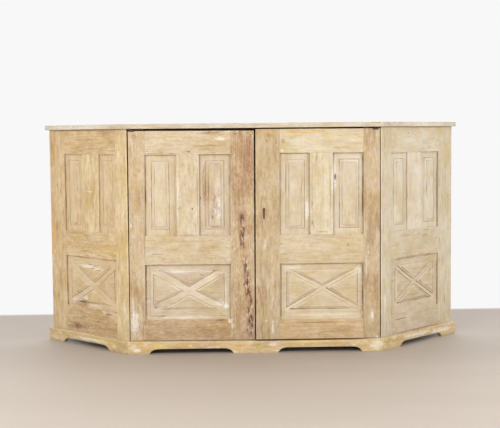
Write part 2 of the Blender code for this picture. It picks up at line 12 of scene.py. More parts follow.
import bmesh
import bpy
import numpy as np
from mathutils import Matrix, Vector
from mathutils.geometry import tessellate_polygon
from mathutils.noise import noise

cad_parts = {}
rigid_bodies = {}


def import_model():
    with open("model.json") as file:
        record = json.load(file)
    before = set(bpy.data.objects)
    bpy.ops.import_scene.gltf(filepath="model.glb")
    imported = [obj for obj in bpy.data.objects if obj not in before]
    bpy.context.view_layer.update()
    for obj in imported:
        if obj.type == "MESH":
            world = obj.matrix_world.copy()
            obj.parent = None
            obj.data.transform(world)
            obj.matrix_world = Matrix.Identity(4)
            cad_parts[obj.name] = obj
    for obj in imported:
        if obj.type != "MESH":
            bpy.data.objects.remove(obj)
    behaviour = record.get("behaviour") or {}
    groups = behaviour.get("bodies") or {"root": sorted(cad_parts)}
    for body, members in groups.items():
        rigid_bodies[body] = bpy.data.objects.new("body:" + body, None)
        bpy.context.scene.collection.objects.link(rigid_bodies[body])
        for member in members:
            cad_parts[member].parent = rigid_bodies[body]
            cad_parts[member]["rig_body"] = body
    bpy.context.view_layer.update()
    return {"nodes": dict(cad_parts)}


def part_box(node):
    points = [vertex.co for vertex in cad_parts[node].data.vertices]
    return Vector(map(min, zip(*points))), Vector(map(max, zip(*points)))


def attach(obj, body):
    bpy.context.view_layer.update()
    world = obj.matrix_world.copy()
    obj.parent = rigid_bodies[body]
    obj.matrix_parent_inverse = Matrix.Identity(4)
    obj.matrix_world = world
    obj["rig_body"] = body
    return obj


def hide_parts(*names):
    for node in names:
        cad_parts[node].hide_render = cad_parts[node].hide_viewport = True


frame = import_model()
LOG = logging.getLogger("buffet")

MM = 0.001
WELD = 0.00002
Point = tuple[float, float]
Opening = tuple[Point, Point]
Place = tuple[float, float, float]
Colour = tuple[float, float, float, float]
Tree = bpy.types.NodeTree
Socket = bpy.types.NodeSocket
Feed = Socket | float | Sequence[float]
Shape = bmesh.types.BMesh
Corner = bmesh.types.BMVert
Edge = bmesh.types.BMEdge


def linear(red: int, green: int, blue: int) -> Colour:
    """Turn a colour as it shows on screen into the shader's linear colour.

    Args:
        red, green, blue: the shown colour, 0 to 255.

    Returns:
        The linear colour with full alpha.
    """
    shown = (channel / 255 for channel in (red, green, blue))
    return (*(c / 12.92 if c < 0.04045 else ((c + 0.055) / 1.055) ** 2.4 for c in shown), 1.0)


class Hand(Enum):
    """Which side of the cabinet a piece is on."""

    LEFT = -1
    RIGHT = 1

    @property
    def label(self) -> str:
        """The word that starts the names of this side's nodes."""
        return self.name.lower()


class Tone(Enum):
    """The stripped pine's shades as they show in daylight, each with how much old stain is left in it."""

    CREAM = (linear(219, 207, 180), 0.05)
    STRAW = (linear(213, 197, 169), 0.15)
    MEAL = (linear(206, 189, 163), 0.15)
    WHEAT = (linear(209, 189, 159), 0.45)
    OCHRE = (linear(219, 196, 159), 0.25)
    MAIZE = (linear(225, 203, 166), 0.35)
    FAWN = (linear(222, 199, 164), 0.45)
    BRASS = (linear(233, 214, 176), 0.25)
    SAND = (linear(203, 184, 153), 0.50)
    TAN = (linear(202, 176, 141), 0.40)
    DUN = (linear(214, 190, 155), 0.35)
    RUSSET = (linear(206, 184, 152), 0.65)
    HONEY = (linear(213, 189, 144), 0.25)
    CHALK = (linear(228, 218, 201), 0.05)
    ASH = (linear(221, 211, 189), 0.10)
    BISQUE = (linear(211, 202, 187), 0.05)
    LINEN = (linear(212, 198, 175), 0.10)
    FLAX = (linear(217, 206, 183), 0.15)
    DRIFT = (linear(212, 196, 170), 0.30)
    AGED = (linear(178, 140, 97), 0.40)
    # Near black for the batten seen through the gap over the doors: a painted shadow.
    SMOKE = (linear(70, 50, 35), 0.40)

    def __init__(self, colour: Colour, stain: float) -> None:
        """Keep the shade with its stain where the alpha would be."""
        self.stained = (*colour[:3], stain)


class MarkKind(Enum):
    """Stains and remnants that sit in one place: colour, raggedness of the edge and streakiness."""

    WHITE_PAINT = (linear(241, 233, 219), 1.5, 0.6)
    WHITE_PATCH = (linear(244, 240, 231), 2.2, 0.25)
    GREY_WASH = (linear(208, 196, 176), 1.6, 0.5)
    YELLOW_WASH = (linear(224, 196, 116), 1.6, 0.4)
    ORANGE_WASH = (linear(216, 168, 98), 1.6, 0.6)
    RED_STAIN = (linear(162, 120, 90), 1.8, 0.75)
    BROWN_STAIN = (linear(156, 114, 78), 1.7, 0.7)
    DARK_STREAK = (linear(90, 58, 40), 1.6, 0.95)
    KNOT = (linear(126, 82, 60), 0.8, 0.0)
    # Near black for holes, also used as painted shadow on the floor board's front edge.
    HOLE = (linear(44, 29, 20), 0.3, 0.0)
    LINE = (linear(150, 116, 84), 0.4, 0.45)
    GREY_LINE = (linear(176, 162, 140), 0.6, 0.3)
    # Rust colour, also used for painted shadow lines under the top's overhang.
    RUST = (linear(124, 84, 58), 0.3, 0.0)

    def __init__(self, colour: Colour, ragged: float, streak: float) -> None:
        """Keep the kind's own looks."""
        self.colour = colour
        self.ragged = ragged
        self.streak = streak


(WHITE_PAINT, WHITE_PATCH, GREY_WASH, YELLOW_WASH, ORANGE_WASH, RED_STAIN, BROWN_STAIN, DARK_STREAK,
 KNOT, HOLE, LINE, GREY_LINE, RUST) = MarkKind


@dataclass(frozen=True)
class Mark:
    """One stain or remnant: its centre and half sizes in X and Z, in millimetres, and how strong it is."""

    kind: MarkKind
    x: float
    z: float
    half_x: float
    half_z: float
    strength: float = 1.0
    LONG, FINE = 18.0, 190.0

    @property
    def grain(self) -> Place:
        """How fine the mark's streaks are in X, Y and Z: they run along its longer side."""
        level = self.half_x > self.half_z
        return (self.LONG, self.FINE, self.FINE) if level else (self.FINE, self.FINE, self.LONG)


@dataclass(frozen=True)
class Shake:
    """A crooked line of cracks along the grain: its ends in X and Z and half its width, in millimetres."""

    top: Point
    bottom: Point
    half: float
    strength: float = 1.0


class Wiring:
    """Lays out the nodes of one shader tree."""

    def __init__(self, tree: Tree) -> None:
        """Keep the tree that the nodes go into."""
        self.tree = tree

    def add(self, kind: str, inputs: dict | None = None, **settings: object) -> bpy.types.Node:
        """Add one node.

        Args:
            kind: the node's Blender type.
            inputs: values or other nodes' outputs, by input name or number.
            **settings: the node's own properties.

        Returns:
            The new node.
        """
        node = self.tree.nodes.new(kind)
        for key, value in settings.items():
            setattr(node, key, value)
        return self.feed(node, inputs or {})

    def feed(self, node: bpy.types.Node, inputs: dict) -> bpy.types.Node:
        """Link a node's inputs, or set their values.

        Args:
            node: the node.
            inputs: values or other nodes' outputs, by input name or number.

        Returns:
            The same node.
        """
        for socket, value in inputs.items():
            if isinstance(value, Socket):
                self.tree.links.new(value, node.inputs[socket])
            else:
                node.inputs[socket].default_value = value
        return node

    def math(self, operation: str, *values: Feed) -> Socket:
        """Add a Math node on up to three values."""
        return self.add("ShaderNodeMath", dict(enumerate(values)), operation=operation).outputs[0]

    def times(self, first: Feed, second: Feed) -> Socket:
        """Multiply two values."""
        return self.math("MULTIPLY", first, second)

    def plus(self, first: Feed, second: Feed) -> Socket:
        """Add two values."""
        return self.math("ADD", first, second)

    def minus(self, first: Feed, second: Feed) -> Socket:
        """Take the second value from the first."""
        return self.math("SUBTRACT", first, second)

    def weighted(self, first: Feed, share: float, second: Feed, other: float) -> Socket:
        """Add two values, each times its own share."""
        return self.math("MULTIPLY_ADD", first, share, self.times(second, other))

    def length(self, first: Feed, second: Feed) -> Socket:
        """The length of a vector with two parts."""
        return self.math("SQRT", self.plus(self.times(first, first), self.times(second, second)))

    def vector(self, operation: str, *values: Feed) -> Socket:
        """Add a Vector Math node on up to two vectors."""
        return self.add("ShaderNodeVectorMath", dict(enumerate(values)), operation=operation).outputs[0]

    def scaled(self, vector: Feed, factor: Feed) -> Socket:
        """Multiply a vector by one value."""
        return self.add("ShaderNodeVectorMath", {0: vector, "Scale": factor}, operation="SCALE").outputs[0]

    def parts(self, vector: Feed) -> Sequence[Socket]:
        """Split a vector into its three parts."""
        return self.add("ShaderNodeSeparateXYZ", {0: vector}).outputs

    def step(self, value: Feed, low: Feed, high: Feed, start: float = 0.0, end: float = 1.0) -> Socket:
        """Ease a value from start to end as it goes from low to high."""
        return self.add("ShaderNodeMapRange", {0: value, 1: low, 2: high, 3: start, 4: end},
                        interpolation_type="SMOOTHSTEP").outputs[0]

    def noise(self, vector: Feed, rate: Feed, detail: float = 2.0, rough: float = 0.5,
              output: int | str = 0) -> Socket:
        """Add noise over a vector.

        Args:
            vector: the coordinates.
            rate: how fast it changes in each direction.
            detail, rough: the noise's own settings.
            output: which of the noise's outputs is wanted.

        Returns:
            The output.
        """
        place = self.vector("MULTIPLY", vector, rate)
        return self.add("ShaderNodeTexNoise", {"Vector": place, "Scale": 1.0, "Detail": detail,
                                               "Roughness": rough}).outputs[output]

    def mix(self, factor: Feed, first: Feed, second: Feed, blend: str = "MIX") -> Socket:
        """Mix two colours."""
        return self.add("ShaderNodeMix", {0: factor, 6: first, 7: second}, data_type="RGBA",
                        blend_type=blend).outputs[2]

    def tinted(self, colour: Feed, tint: Feed) -> Socket:
        """Multiply two colours."""
        return self.mix(1.0, colour, tint, "MULTIPLY")

    def read(self, name: str) -> bpy.types.Node:
        """Read one of the mesh's own attributes."""
        return self.add("ShaderNodeAttribute", attribute_name=name)

    def group(self, tree: Tree, inputs: dict) -> bpy.types.Node:
        """Place a node group."""
        return self.add("ShaderNodeGroup", inputs, node_tree=tree)


def new_material(name: str) -> tuple[bpy.types.Material, Wiring, bpy.types.Node]:
    """Start a material.

    Args:
        name: the material's name.

    Returns:
        The material, its wiring and its Principled shader.
    """
    made = bpy.data.materials.new(name)
    made.use_nodes = True
    return made, Wiring(made.node_tree), made.node_tree.nodes["Principled BSDF"]


class Effect:
    """A shader node group with named inputs and outputs."""

    SOCKETS = {"value": "NodeSocketFloat", "vector": "NodeSocketVector", "colour": "NodeSocketColor"}
    STRIDE = (3.7, 1.9, 0.8)

    def __init__(self, name: str, inputs: dict[str, str], outputs: dict[str, str]) -> None:
        """Make the group with its sockets.

        Args:
            name: the group's name.
            inputs: each input's kind, by name.
            outputs: each output's kind, by name.
        """
        self.tree = bpy.data.node_groups.new(name, "ShaderNodeTree")
        for direction, sockets in (("INPUT", inputs), ("OUTPUT", outputs)):
            for label, kind in sockets.items():
                self.tree.interface.new_socket(label, in_out=direction, socket_type=self.SOCKETS[kind])
        self.wiring = Wiring(self.tree)
        self.given = self.tree.nodes.new("NodeGroupInput").outputs
        self.result = self.tree.nodes.new("NodeGroupOutput").inputs

    def put(self, label: str, socket: Socket) -> None:
        """Send a node's output out of the group."""
        self.tree.links.new(socket, self.result[label])

    def seeded(self) -> Socket:
        """The board's own coordinates, moved to another stretch of wood for each piece."""
        shift = self.wiring.scaled(self.STRIDE, self.given["Seed"])
        return self.wiring.vector("ADD", self.given["Board"], shift)

    def over(self, value: Socket, level: float, fall: float, width: float) -> Socket:
        """Where a value is over a level that falls as the group's Amount grows.

        Args:
            value: the value.
            level: the level for an amount of 0.
            fall: how far it falls for an amount of 1.
            width: how far over the level the mask is full.

        Returns:
            The mask.
        """
        low = self.wiring.math("MULTIPLY_ADD", self.given["Amount"], -fall, level)
        return self.wiring.step(value, low, self.wiring.plus(low, width))


RING_GAP = 0.0058
PITH_AWAY = 0.02
BOARD_INPUTS = {"Board": "vector", "Seed": "value"}
WEAR_INPUTS = {**BOARD_INPUTS, "Amount": "value"}
GRAIN_OUTPUTS = {"Rings": "value", "Fibre": "value", "Cloud": "value", "Hue": "colour"}
MASK = {"Mask": "value"}


@cache
def pine_grain() -> Tree:
    """Growth rings, fibre and slow clouding of a flat-sawn pine board.

    Returns:
        The group, with Rings, Fibre and Cloud from 0 to 1 and a mottled Hue round mid grey.
    """
    effect = Effect("pine_grain", BOARD_INPUTS, GRAIN_OUTPUTS)
    wiring, place = effect.wiring, effect.seeded()
    slow = wiring.noise(place, (1.1, 0.0, 0.0), 1.0)
    drift = wiring.noise(place, (1.7, 9.0, 9.0), 3.0)
    _, across, outward = wiring.parts(effect.given["Board"])
    pith = wiring.math("MULTIPLY_ADD", slow, 0.13, wiring.minus(outward, PITH_AWAY))
    beside = wiring.math("MULTIPLY_ADD", drift, 0.05, wiring.minus(across, PITH_AWAY))
    wave = wiring.math("SINE", wiring.times(wiring.length(pith, beside), 2 * pi / RING_GAP))
    effect.put("Rings", wiring.step(wave, -0.6, 1.0))
    fine = wiring.noise(place, (24.0, 620.0, 620.0))
    broad = wiring.noise(place, (7.0, 120.0, 120.0), 3.0, 0.6)
    effect.put("Fibre", wiring.weighted(broad, 0.6, fine, 0.4))
    wide = wiring.noise(place, (5.0, 14.0, 14.0), 4.0, 0.6)
    mottle = wiring.noise(place, (24.0, 55.0, 55.0), 4.0, 0.6)
    effect.put("Cloud", wiring.weighted(wide, 0.5, mottle, 0.5))
    effect.put("Hue", wiring.noise(place, (22.0, 40.0, 40.0), 4.0, 0.62, "Color"))
    return effect.tree


@cache
def pine_colour() -> Tree:
    """Colour of stripped pine from its tone and grain.

    Returns:
        The group, with the wood's Colour.
    """
    effect = Effect("pine_colour", {"Tone": "colour", **GRAIN_OUTPUTS, "Contrast": "value"},
                    {"Colour": "colour"})
    wiring, given = effect.wiring, effect.given
    dark = wiring.tinted(given["Tone"], (0.78, 0.68, 0.53, 1.0))
    pale = wiring.tinted(given["Tone"], (1.05, 1.07, 1.09, 1.0))
    depth = wiring.weighted(given["Rings"], 0.03, given["Fibre"], 0.35)
    depth = wiring.math("MULTIPLY_ADD", given["Cloud"], 0.62, depth)
    share = wiring.step(depth, 0.38, 0.64)
    colour = wiring.mix(wiring.times(share, given["Contrast"]), pale, dark)
    swing = wiring.vector("SUBTRACT", given["Hue"], (0.5, 0.5, 0.5))
    swing = wiring.vector("MULTIPLY", swing, (0.12, 0.22, 0.62))
    effect.put("Colour", wiring.tinted(colour, wiring.vector("ADD", swing, (1.0, 1.0, 1.0))))
    return effect.tree


@cache
def flecks() -> Tree:
    """Pores dark with old dirt and specks of old paint, the size of rice grains.

    Returns:
        The group, with the masks Dark and Pale.
    """
    effect = Effect("flecks", BOARD_INPUTS, {"Dark": "value", "Pale": "value"})
    wiring = effect.wiring
    fine = wiring.noise(effect.seeded(), (60.0, 340.0, 340.0), 3.0, 0.65)
    effect.put("Dark", wiring.step(fine, 0.52, 0.68))
    effect.put("Pale", wiring.step(fine, 0.34, 0.46, 1.0, 0.0))
    return effect.tree


@cache
def old_stain() -> Tree:
    """Brown stain that was left in the grain in streaks.

    Returns:
        The group, with the Mask of what is left.
    """
    effect = Effect("old_stain", WEAR_INPUTS, MASK)
    wiring, place = effect.wiring, effect.seeded()
    streaks = wiring.noise(place, (9.0, 85.0, 85.0), 4.0, 0.65)
    region = wiring.noise(place, (4.5, 15.0, 15.0), 3.0, 0.6)
    effect.put("Mask", effect.over(wiring.weighted(streaks, 0.5, region, 0.5), 0.60, 0.19, 0.12))
    return effect.tree


@cache
def paint_remnants() -> Tree:
    """Thin old paint left in the grain in patches.

    Returns:
        The group, with the Mask of what is left.
    """
    effect = Effect("paint_remnants", WEAR_INPUTS, MASK)
    wiring, place = effect.wiring, effect.seeded()
    patch = wiring.noise(place, (22.0, 40.0, 40.0), 5.0, 0.62)
    thread = wiring.noise(place, (38.0, 240.0, 240.0))
    effect.put("Mask", effect.over(wiring.weighted(thread, 0.2, patch, 0.8), 0.70, 0.32, 0.17))
    return effect.tree


@cache
def knocks() -> Tree:
    """Scratches, checks and small dents, dark with old dirt.

    Returns:
        The group, with the Mask of the marks.
    """
    effect = Effect("knocks", WEAR_INPUTS, MASK)
    wiring, place = effect.wiring, effect.seeded()
    checks = wiring.noise(place, (13.0, 140.0, 140.0), 3.0, 0.6)
    region = wiring.noise(place, (4.0, 10.0, 10.0))
    lines = wiring.times(effect.over(checks, 0.66, 0.12, 0.08), wiring.step(region, 0.42, 0.62))
    cells = wiring.add("ShaderNodeTexVoronoi", {"Vector": place, "Scale": 42.0})
    chance = wiring.step(wiring.parts(cells.outputs["Color"])[0], 0.90, 0.92)
    specks = wiring.times(wiring.step(cells.outputs["Distance"], 0.05, 0.10, 1.0, 0.0), chance)
    effect.put("Mask", wiring.math("MAXIMUM", lines, specks))
    return effect.tree


@cache
def ragged_spot() -> Tree:
    """One stain at a place on the cabinet, with a ragged or streaky edge.

    Returns:
        The group, with the Mask of the stain.
    """
    vectors = dict.fromkeys(("Place", "Centre", "Half", "Grain"), "vector")
    values = dict.fromkeys(("Ragged", "Streak", "Strength"), "value")
    effect = Effect("ragged_spot", {**vectors, **values}, MASK)
    wiring, given = effect.wiring, effect.given
    away = wiring.vector("DIVIDE", wiring.vector("SUBTRACT", given["Place"], given["Centre"]), given["Half"])
    x, _, z = wiring.parts(away)
    edge = wiring.noise(given["Place"], (150.0, 150.0, 95.0), 5.0, 0.7)
    reach = wiring.math("MULTIPLY_ADD", wiring.minus(edge, 0.5), given["Ragged"], wiring.length(x, z))
    inside = wiring.step(reach, 0.35, 1.0, 1.0, 0.0)
    threads = wiring.noise(given["Place"], given["Grain"], 4.0, 0.65)
    threads = wiring.times(wiring.step(threads, 0.42, 0.58), given["Streak"])
    kept = wiring.times(inside, wiring.minus(1.0, threads))
    effect.put("Mask", wiring.times(kept, given["Strength"]))
    return effect.tree


@cache
def heart_shake() -> Tree:
    """A crooked line of cracks with stained wood round them and old paint in them.

    Returns:
        The group, with the masks Halo, Crack and Fleck.
    """
    effect = Effect("heart_shake", {"Place": "vector", "Top": "vector", "Bottom": "vector", "Half": "value"},
                    {"Halo": "value", "Crack": "value", "Fleck": "value"})
    wiring, place = effect.wiring, effect.given["Place"]
    end_fade = wander_wide = 0.03
    x, _, z = wiring.parts(place)
    top_x, _, top_z = wiring.parts(effect.given["Top"])
    low_x, _, low_z = wiring.parts(effect.given["Bottom"])
    path = wiring.add("ShaderNodeMapRange", {0: z, 1: top_z, 2: low_z, 3: top_x, 4: low_x}).outputs[0]
    wander = wiring.noise(place, (0.0, 0.0, 16.0))
    path = wiring.math("MULTIPLY_ADD", wiring.minus(wander, 0.5), wander_wide, path)
    away = wiring.math("DIVIDE", wiring.math("ABSOLUTE", wiring.minus(x, path)), effect.given["Half"])
    ends = wiring.times(wiring.step(z, low_z, wiring.plus(low_z, end_fade)),
                        wiring.step(z, wiring.minus(top_z, end_fade), top_z, 1.0, 0.0))
    near = wiring.times(wiring.step(away, 0.3, 1.0, 1.0, 0.0), ends)
    threads = wiring.noise(place, (210.0, 210.0, 34.0), 4.0, 0.7)
    blobs = wiring.noise(place, (80.0, 80.0, 40.0), 4.0, 0.7)
    both = wiring.weighted(threads, 0.5, blobs, 0.5)
    effect.put("Crack", wiring.times(near, wiring.step(both, 0.475, 0.54)))
    halo = wiring.times(wiring.step(away, 0.4, 1.7, 1.0, 0.0), ends)
    effect.put("Halo", wiring.times(halo, wiring.step(blobs, 0.36, 0.56)))
    specks = wiring.noise(place, (190.0, 190.0, 75.0))
    effect.put("Fleck", wiring.times(near, wiring.step(specks, 0.56, 0.64)))
    return effect.tree


@cache
def old_iron() -> Tree:
    """Forged iron gone dark, with rust in patches.

    Returns:
        The group, with Colour, Roughness, Bare (bright metal) and Height.
    """
    effect = Effect("old_iron", {"Place": "vector", "Rust": "value"},
                    {"Colour": "colour", "Roughness": "value", "Bare": "value", "Height": "value"})
    wiring, place = effect.wiring, effect.given["Place"]
    patch = wiring.noise(place, (160.0, 160.0, 160.0), 5.0, 0.65)
    pits = wiring.noise(place, (900.0, 900.0, 900.0), 3.0)
    rust = wiring.math("MAXIMUM", wiring.step(patch, 0.48, 0.62), effect.given["Rust"])
    skin = wiring.mix(pits, linear(58, 52, 48), linear(88, 80, 74))
    scale = wiring.mix(pits, linear(92, 58, 40), linear(134, 84, 54))
    effect.put("Colour", wiring.mix(rust, skin, scale))
    rough = wiring.math("MULTIPLY_ADD", pits, 0.2, 0.36)
    effect.put("Roughness", wiring.math("MULTIPLY_ADD", rust, 0.28, rough))
    effect.put("Bare", wiring.minus(0.85, wiring.times(rust, 0.75)))
    effect.put("Height", wiring.weighted(patch, 0.5, pits, 0.5))
    return effect.tree


@dataclass(frozen=True)
class PineFinish:
    """Old pine with remnants of paint: how much of each kind of wear and painted shade it has, and its own
    marks.
    """

    name: str
    paint: float = 0.6
    paint_cover: float = 0.3
    knocks: float = 0.3
    contrast: float = 0.8
    flecks: float = 0.4
    grime: float = 0.0
    # How dark the walls of recesses are painted: dirt and painted shade.
    wall_soil: float = 0.75
    marks: tuple[Mark, ...] = ()
    shakes: tuple[Shake, ...] = ()
    paint_colour: Colour = linear(236, 224, 203)
    wash: Colour = (0.92, 0.87, 0.76, 1.0)
    pore: Colour = (0.70, 0.60, 0.50, 1.0)
    lime_colour: Colour = linear(230, 217, 194)
    stain_colour: Colour = linear(152, 110, 76)
    soil_colour: Colour = linear(104, 74, 48)
    knock_colour: Colour = linear(124, 88, 58)
    inside_colour: Colour = linear(176, 138, 96)
    halo_colour: Colour = linear(168, 124, 94)
    crack_colour: Colour = linear(92, 54, 38)
    fleck_colour: Colour = linear(238, 228, 214)
    grime_top: float = 0.20
    WASH_RATE = (8.5, 8.5, 8.5)
    # WALL_LIME: how much pale paint up-facing ledges get; it also stands in for the light on them.
    STAIN_SHARE, PALE_SHARE, KNOCK_SHARE, RUBBED_SHARE, WALL_LIME = 0.5, 0.5, 0.62, 0.4, 0.4
    HALO_SHARE, FLECK_SHARE, CRACK_SHARE = 0.7, 0.7, 0.9
    BARE_ROUGH, PAINT_ROUGH, GLOSS = 0.72, 0.60, 0.3
    BUMP = {"Strength": 0.55, "Distance": 0.0009}

    @cache
    def material(self) -> bpy.types.Material:
        """Build the finish's material once.

        Returns:
            The material.
        """
        made, wiring, shader = new_material(self.name)
        own = {"Board": wiring.read("board").outputs["Vector"], "Seed": wiring.read("seed").outputs["Fac"]}
        place = wiring.add("ShaderNodeTexCoord").outputs["Object"]
        tone = wiring.read("tone").outputs
        arris, wall, inside = wiring.parts(wiring.read("kind").outputs["Vector"])
        grain = wiring.group(pine_grain(), own).outputs
        paint = wiring.group(paint_remnants(), {**own, "Amount": self.paint}).outputs[0]
        dents = wiring.group(knocks(), {**own, "Amount": self.knocks}).outputs[0]
        colour = self.aged(wiring, self.wood(wiring, tone["Color"], grain), own, tone["Alpha"])
        colour = wiring.mix(wiring.times(paint, self.paint_cover), colour, self.paint_colour)
        colour = self.weathered(wiring, colour, place, grain)
        colour = self.stained(wiring, colour, place)
        colour = self.cracked(wiring, colour, place)
        colour = wiring.mix(wiring.times(dents, self.KNOCK_SHARE), colour, self.knock_colour)
        colour = self.soiled(wiring, colour, grain, arris, wall)
        colour = wiring.mix(inside, colour, self.wood(wiring, self.inside_colour, grain))
        height = wiring.weighted(grain["Fibre"], 0.35, grain["Rings"], 0.25)
        height = wiring.math("MULTIPLY_ADD", paint, 0.4, height)
        height = wiring.math("MULTIPLY_ADD", dents, -0.9, height)
        bump = wiring.add("ShaderNodeBump", {"Height": height, **self.BUMP})
        rough = wiring.step(paint, 0.0, 1.0, self.BARE_ROUGH, self.PAINT_ROUGH)
        wiring.feed(shader, {"Base Color": colour, "Roughness": rough, "Normal": bump.outputs[0],
                             "Specular IOR Level": self.GLOSS})
        return made

    def wood(self, wiring: Wiring, tone: Feed, grain: Sequence[Socket]) -> Socket:
        """The bare wood's colour from a tone."""
        looks = {label: grain[label] for label in GRAIN_OUTPUTS}
        return wiring.group(pine_colour(), {"Tone": tone, **looks, "Contrast": self.contrast}).outputs[0]

    def aged(self, wiring: Wiring, colour: Socket, own: dict[str, Socket], stain: Socket) -> Socket:
        """Add the old stain that is left, dark pores and pale specks.

        Args:
            wiring: the material's tree.
            colour: the bare wood.
            own: the board's coordinates and seed.
            stain: how much stain is left.

        Returns:
            The aged wood.
        """
        left = wiring.group(old_stain(), {**own, "Amount": stain}).outputs[0]
        colour = wiring.mix(wiring.times(left, self.STAIN_SHARE), colour, self.stain_colour)
        specks = wiring.group(flecks(), own).outputs
        worn = wiring.times(wiring.math("MULTIPLY_ADD", stain, 1.3, 0.45), self.flecks)
        colour = wiring.mix(wiring.times(specks["Dark"], worn), colour, wiring.tinted(colour, self.pore))
        pale = wiring.times(specks["Pale"], self.flecks * self.PALE_SHARE)
        return wiring.mix(pale, colour, self.paint_colour)

    def weathered(self, wiring: Wiring, colour: Socket, place: Socket, grain: Sequence[Socket]) -> Socket:
        """Add a broad uneven wash, and grime low down.

        Args:
            wiring: the material's tree.
            colour: the wood so far.
            place: coordinates on the cabinet.
            grain: the grain's outputs.

        Returns:
            The weathered wood.
        """
        wash = wiring.noise(place, self.WASH_RATE, 4.0, 0.6)
        colour = wiring.mix(wiring.step(wash, 0.40, 0.66), colour, wiring.tinted(colour, self.wash))
        low = wiring.step(wiring.parts(place)[2], 0.0, self.grime_top, self.grime, 0.0)
        return wiring.mix(wiring.times(low, grain["Cloud"]), colour, self.soil_colour)

    def stained(self, wiring: Wiring, colour: Socket, place: Socket) -> Socket:
        """Lay the finish's own marks over the wood.

        Args:
            wiring: the material's tree.
            colour: the wood so far.
            place: coordinates on the cabinet.

        Returns:
            The wood with its marks.
        """
        for mark in self.marks:
            spot = wiring.group(ragged_spot(), {
                "Place": place, "Centre": (mark.x * MM, 0.0, mark.z * MM),
                "Half": (mark.half_x * MM, 1.0, mark.half_z * MM), "Grain": mark.grain,
                "Ragged": mark.kind.ragged, "Streak": mark.kind.streak, "Strength": mark.strength})
            colour = wiring.mix(spot.outputs[0], colour, mark.kind.colour)
        return colour

    def cracked(self, wiring: Wiring, colour: Socket, place: Socket) -> Socket:
        """Lay the finish's own lines of cracks over the wood.

        Args:
            wiring: the material's tree.
            colour: the wood so far.
            place: coordinates on the cabinet.

        Returns:
            The wood with its cracks.
        """
        for shake in self.shakes:
            found = wiring.group(heart_shake(), {
                "Place": place, "Top": (shake.top[0] * MM, 0.0, shake.top[1] * MM),
                "Bottom": (shake.bottom[0] * MM, 0.0, shake.bottom[1] * MM),
                "Half": shake.half * MM}).outputs
            for mask, share, tint in (("Halo", self.HALO_SHARE, self.halo_colour),
                                      ("Fleck", self.FLECK_SHARE, self.fleck_colour),
                                      ("Crack", self.CRACK_SHARE, self.crack_colour)):
                colour = wiring.mix(wiring.times(found[mask], share * shake.strength), colour, tint)
        return colour

    def soiled(self, wiring: Wiring, colour: Socket, grain: Sequence[Socket], arris: Socket,
               wall: Socket) -> Socket:
        """Add dirt with painted shade in the corners and on the walls of recesses, pale paint that also
        stands in for light on up-facing ledges, and rubbed arrises.

        Args:
            wiring: the material's tree.
            colour: the wood so far.
            grain: the grain's outputs.
            arris: mask of the rubbed edges.
            wall: 1 on faces that stand square to the front, painted darker as shade and dirt; -1 on up-facing
                ledges among them, painted paler as light and pale paint.

        Returns:
            The wood with its dirt and painted shade.
        """
        uneven = wiring.step(grain["Cloud"], 0.35, 0.60, 0.35, 1.0)
        soil = wiring.times(wiring.read("soil").outputs["Fac"], uneven)
        # Painted light and shade: up-facing ledges are made paler and walls of recesses darker, besides real
        # dirt and pale paint.
        lime = wiring.math("MAXIMUM", wiring.times(soil, -1.0), wiring.times(wall, -self.WALL_LIME))
        colour = wiring.mix(wiring.math("MAXIMUM", lime, 0.0), colour, self.lime_colour)
        dirt = wiring.math("MAXIMUM", soil, wiring.times(wall, self.wall_soil))
        colour = wiring.mix(wiring.math("MAXIMUM", dirt, 0.0), colour, self.soil_colour)
        rubbed = wiring.times(arris, wiring.step(grain["Cloud"], 0.42, 0.60))
        return wiring.mix(wiring.times(rubbed, self.RUBBED_SHARE), colour, self.paint_colour)


@dataclass(frozen=True)
class IronFinish:
    """Forged iron: how rusty it is all over, and how far it has been rubbed bright."""

    name: str = "old_iron"
    rust: float = 0.0
    bright: float = 0.0
    steel: Colour = linear(214, 214, 210)
    BUMP = {"Strength": 0.5, "Distance": 0.0006}

    @cache
    def material(self) -> bpy.types.Material:
        """Build the iron's material once.

        Returns:
            The material.
        """
        made, wiring, shader = new_material(self.name)
        place = wiring.add("ShaderNodeTexCoord").outputs["Object"]
        iron = wiring.group(old_iron(), {"Place": place, "Rust": self.rust}).outputs
        colour = wiring.mix(self.bright, iron["Colour"], self.steel)
        bump = wiring.add("ShaderNodeBump", {"Height": iron["Height"], **self.BUMP})
        wiring.feed(shader, {"Base Color": colour, "Roughness": iron["Roughness"], "Metallic": iron["Bare"],
                             "Normal": bump.outputs[0]})
        return made


@dataclass(frozen=True)
class Axes:
    """A piece's own directions: along the grain, across it and out of its face."""

    along: Vector
    across: Vector
    outward: Vector

    def turned(self) -> "Axes":
        """The same face with the grain turned a quarter."""
        return Axes(self.across, self.along, self.outward)

    def matrix(self) -> np.ndarray:
        """The three directions as the rows of a matrix."""
        return np.array([self.along, self.across, self.outward])

    def local(self, points: np.ndarray) -> np.ndarray:
        """Points in these directions.

        Args:
            points: points in the cabinet's frame, one a row.

        Returns:
            The same points measured along, across and outward.
        """
        return points @ self.matrix().T

    def world(self, point: Sequence[float]) -> Vector:
        """A local point in the cabinet's frame."""
        return self.along * point[0] + self.across * point[1] + self.outward * point[2]


RIGHTWARD, BACKWARD, UPWARD = Vector((1, 0, 0)), Vector((0, 1, 0)), Vector((0, 0, 1))
FRONT_UPRIGHT = Axes(UPWARD, RIGHTWARD, -BACKWARD)
FRONT_LEVEL = FRONT_UPRIGHT.turned()
FLAT_LEVEL = Axes(RIGHTWARD, BACKWARD, UPWARD)
BACK_LEVEL = Axes(RIGHTWARD, UPWARD, BACKWARD)


def side_axes(hand: Hand) -> Axes:
    """Upright axes of a canted side, whose across direction runs to the back."""
    slope = sqrt(0.5)
    return Axes(UPWARD, Vector((hand.value * slope, slope, 0)), Vector((hand.value * slope, -slope, 0)))


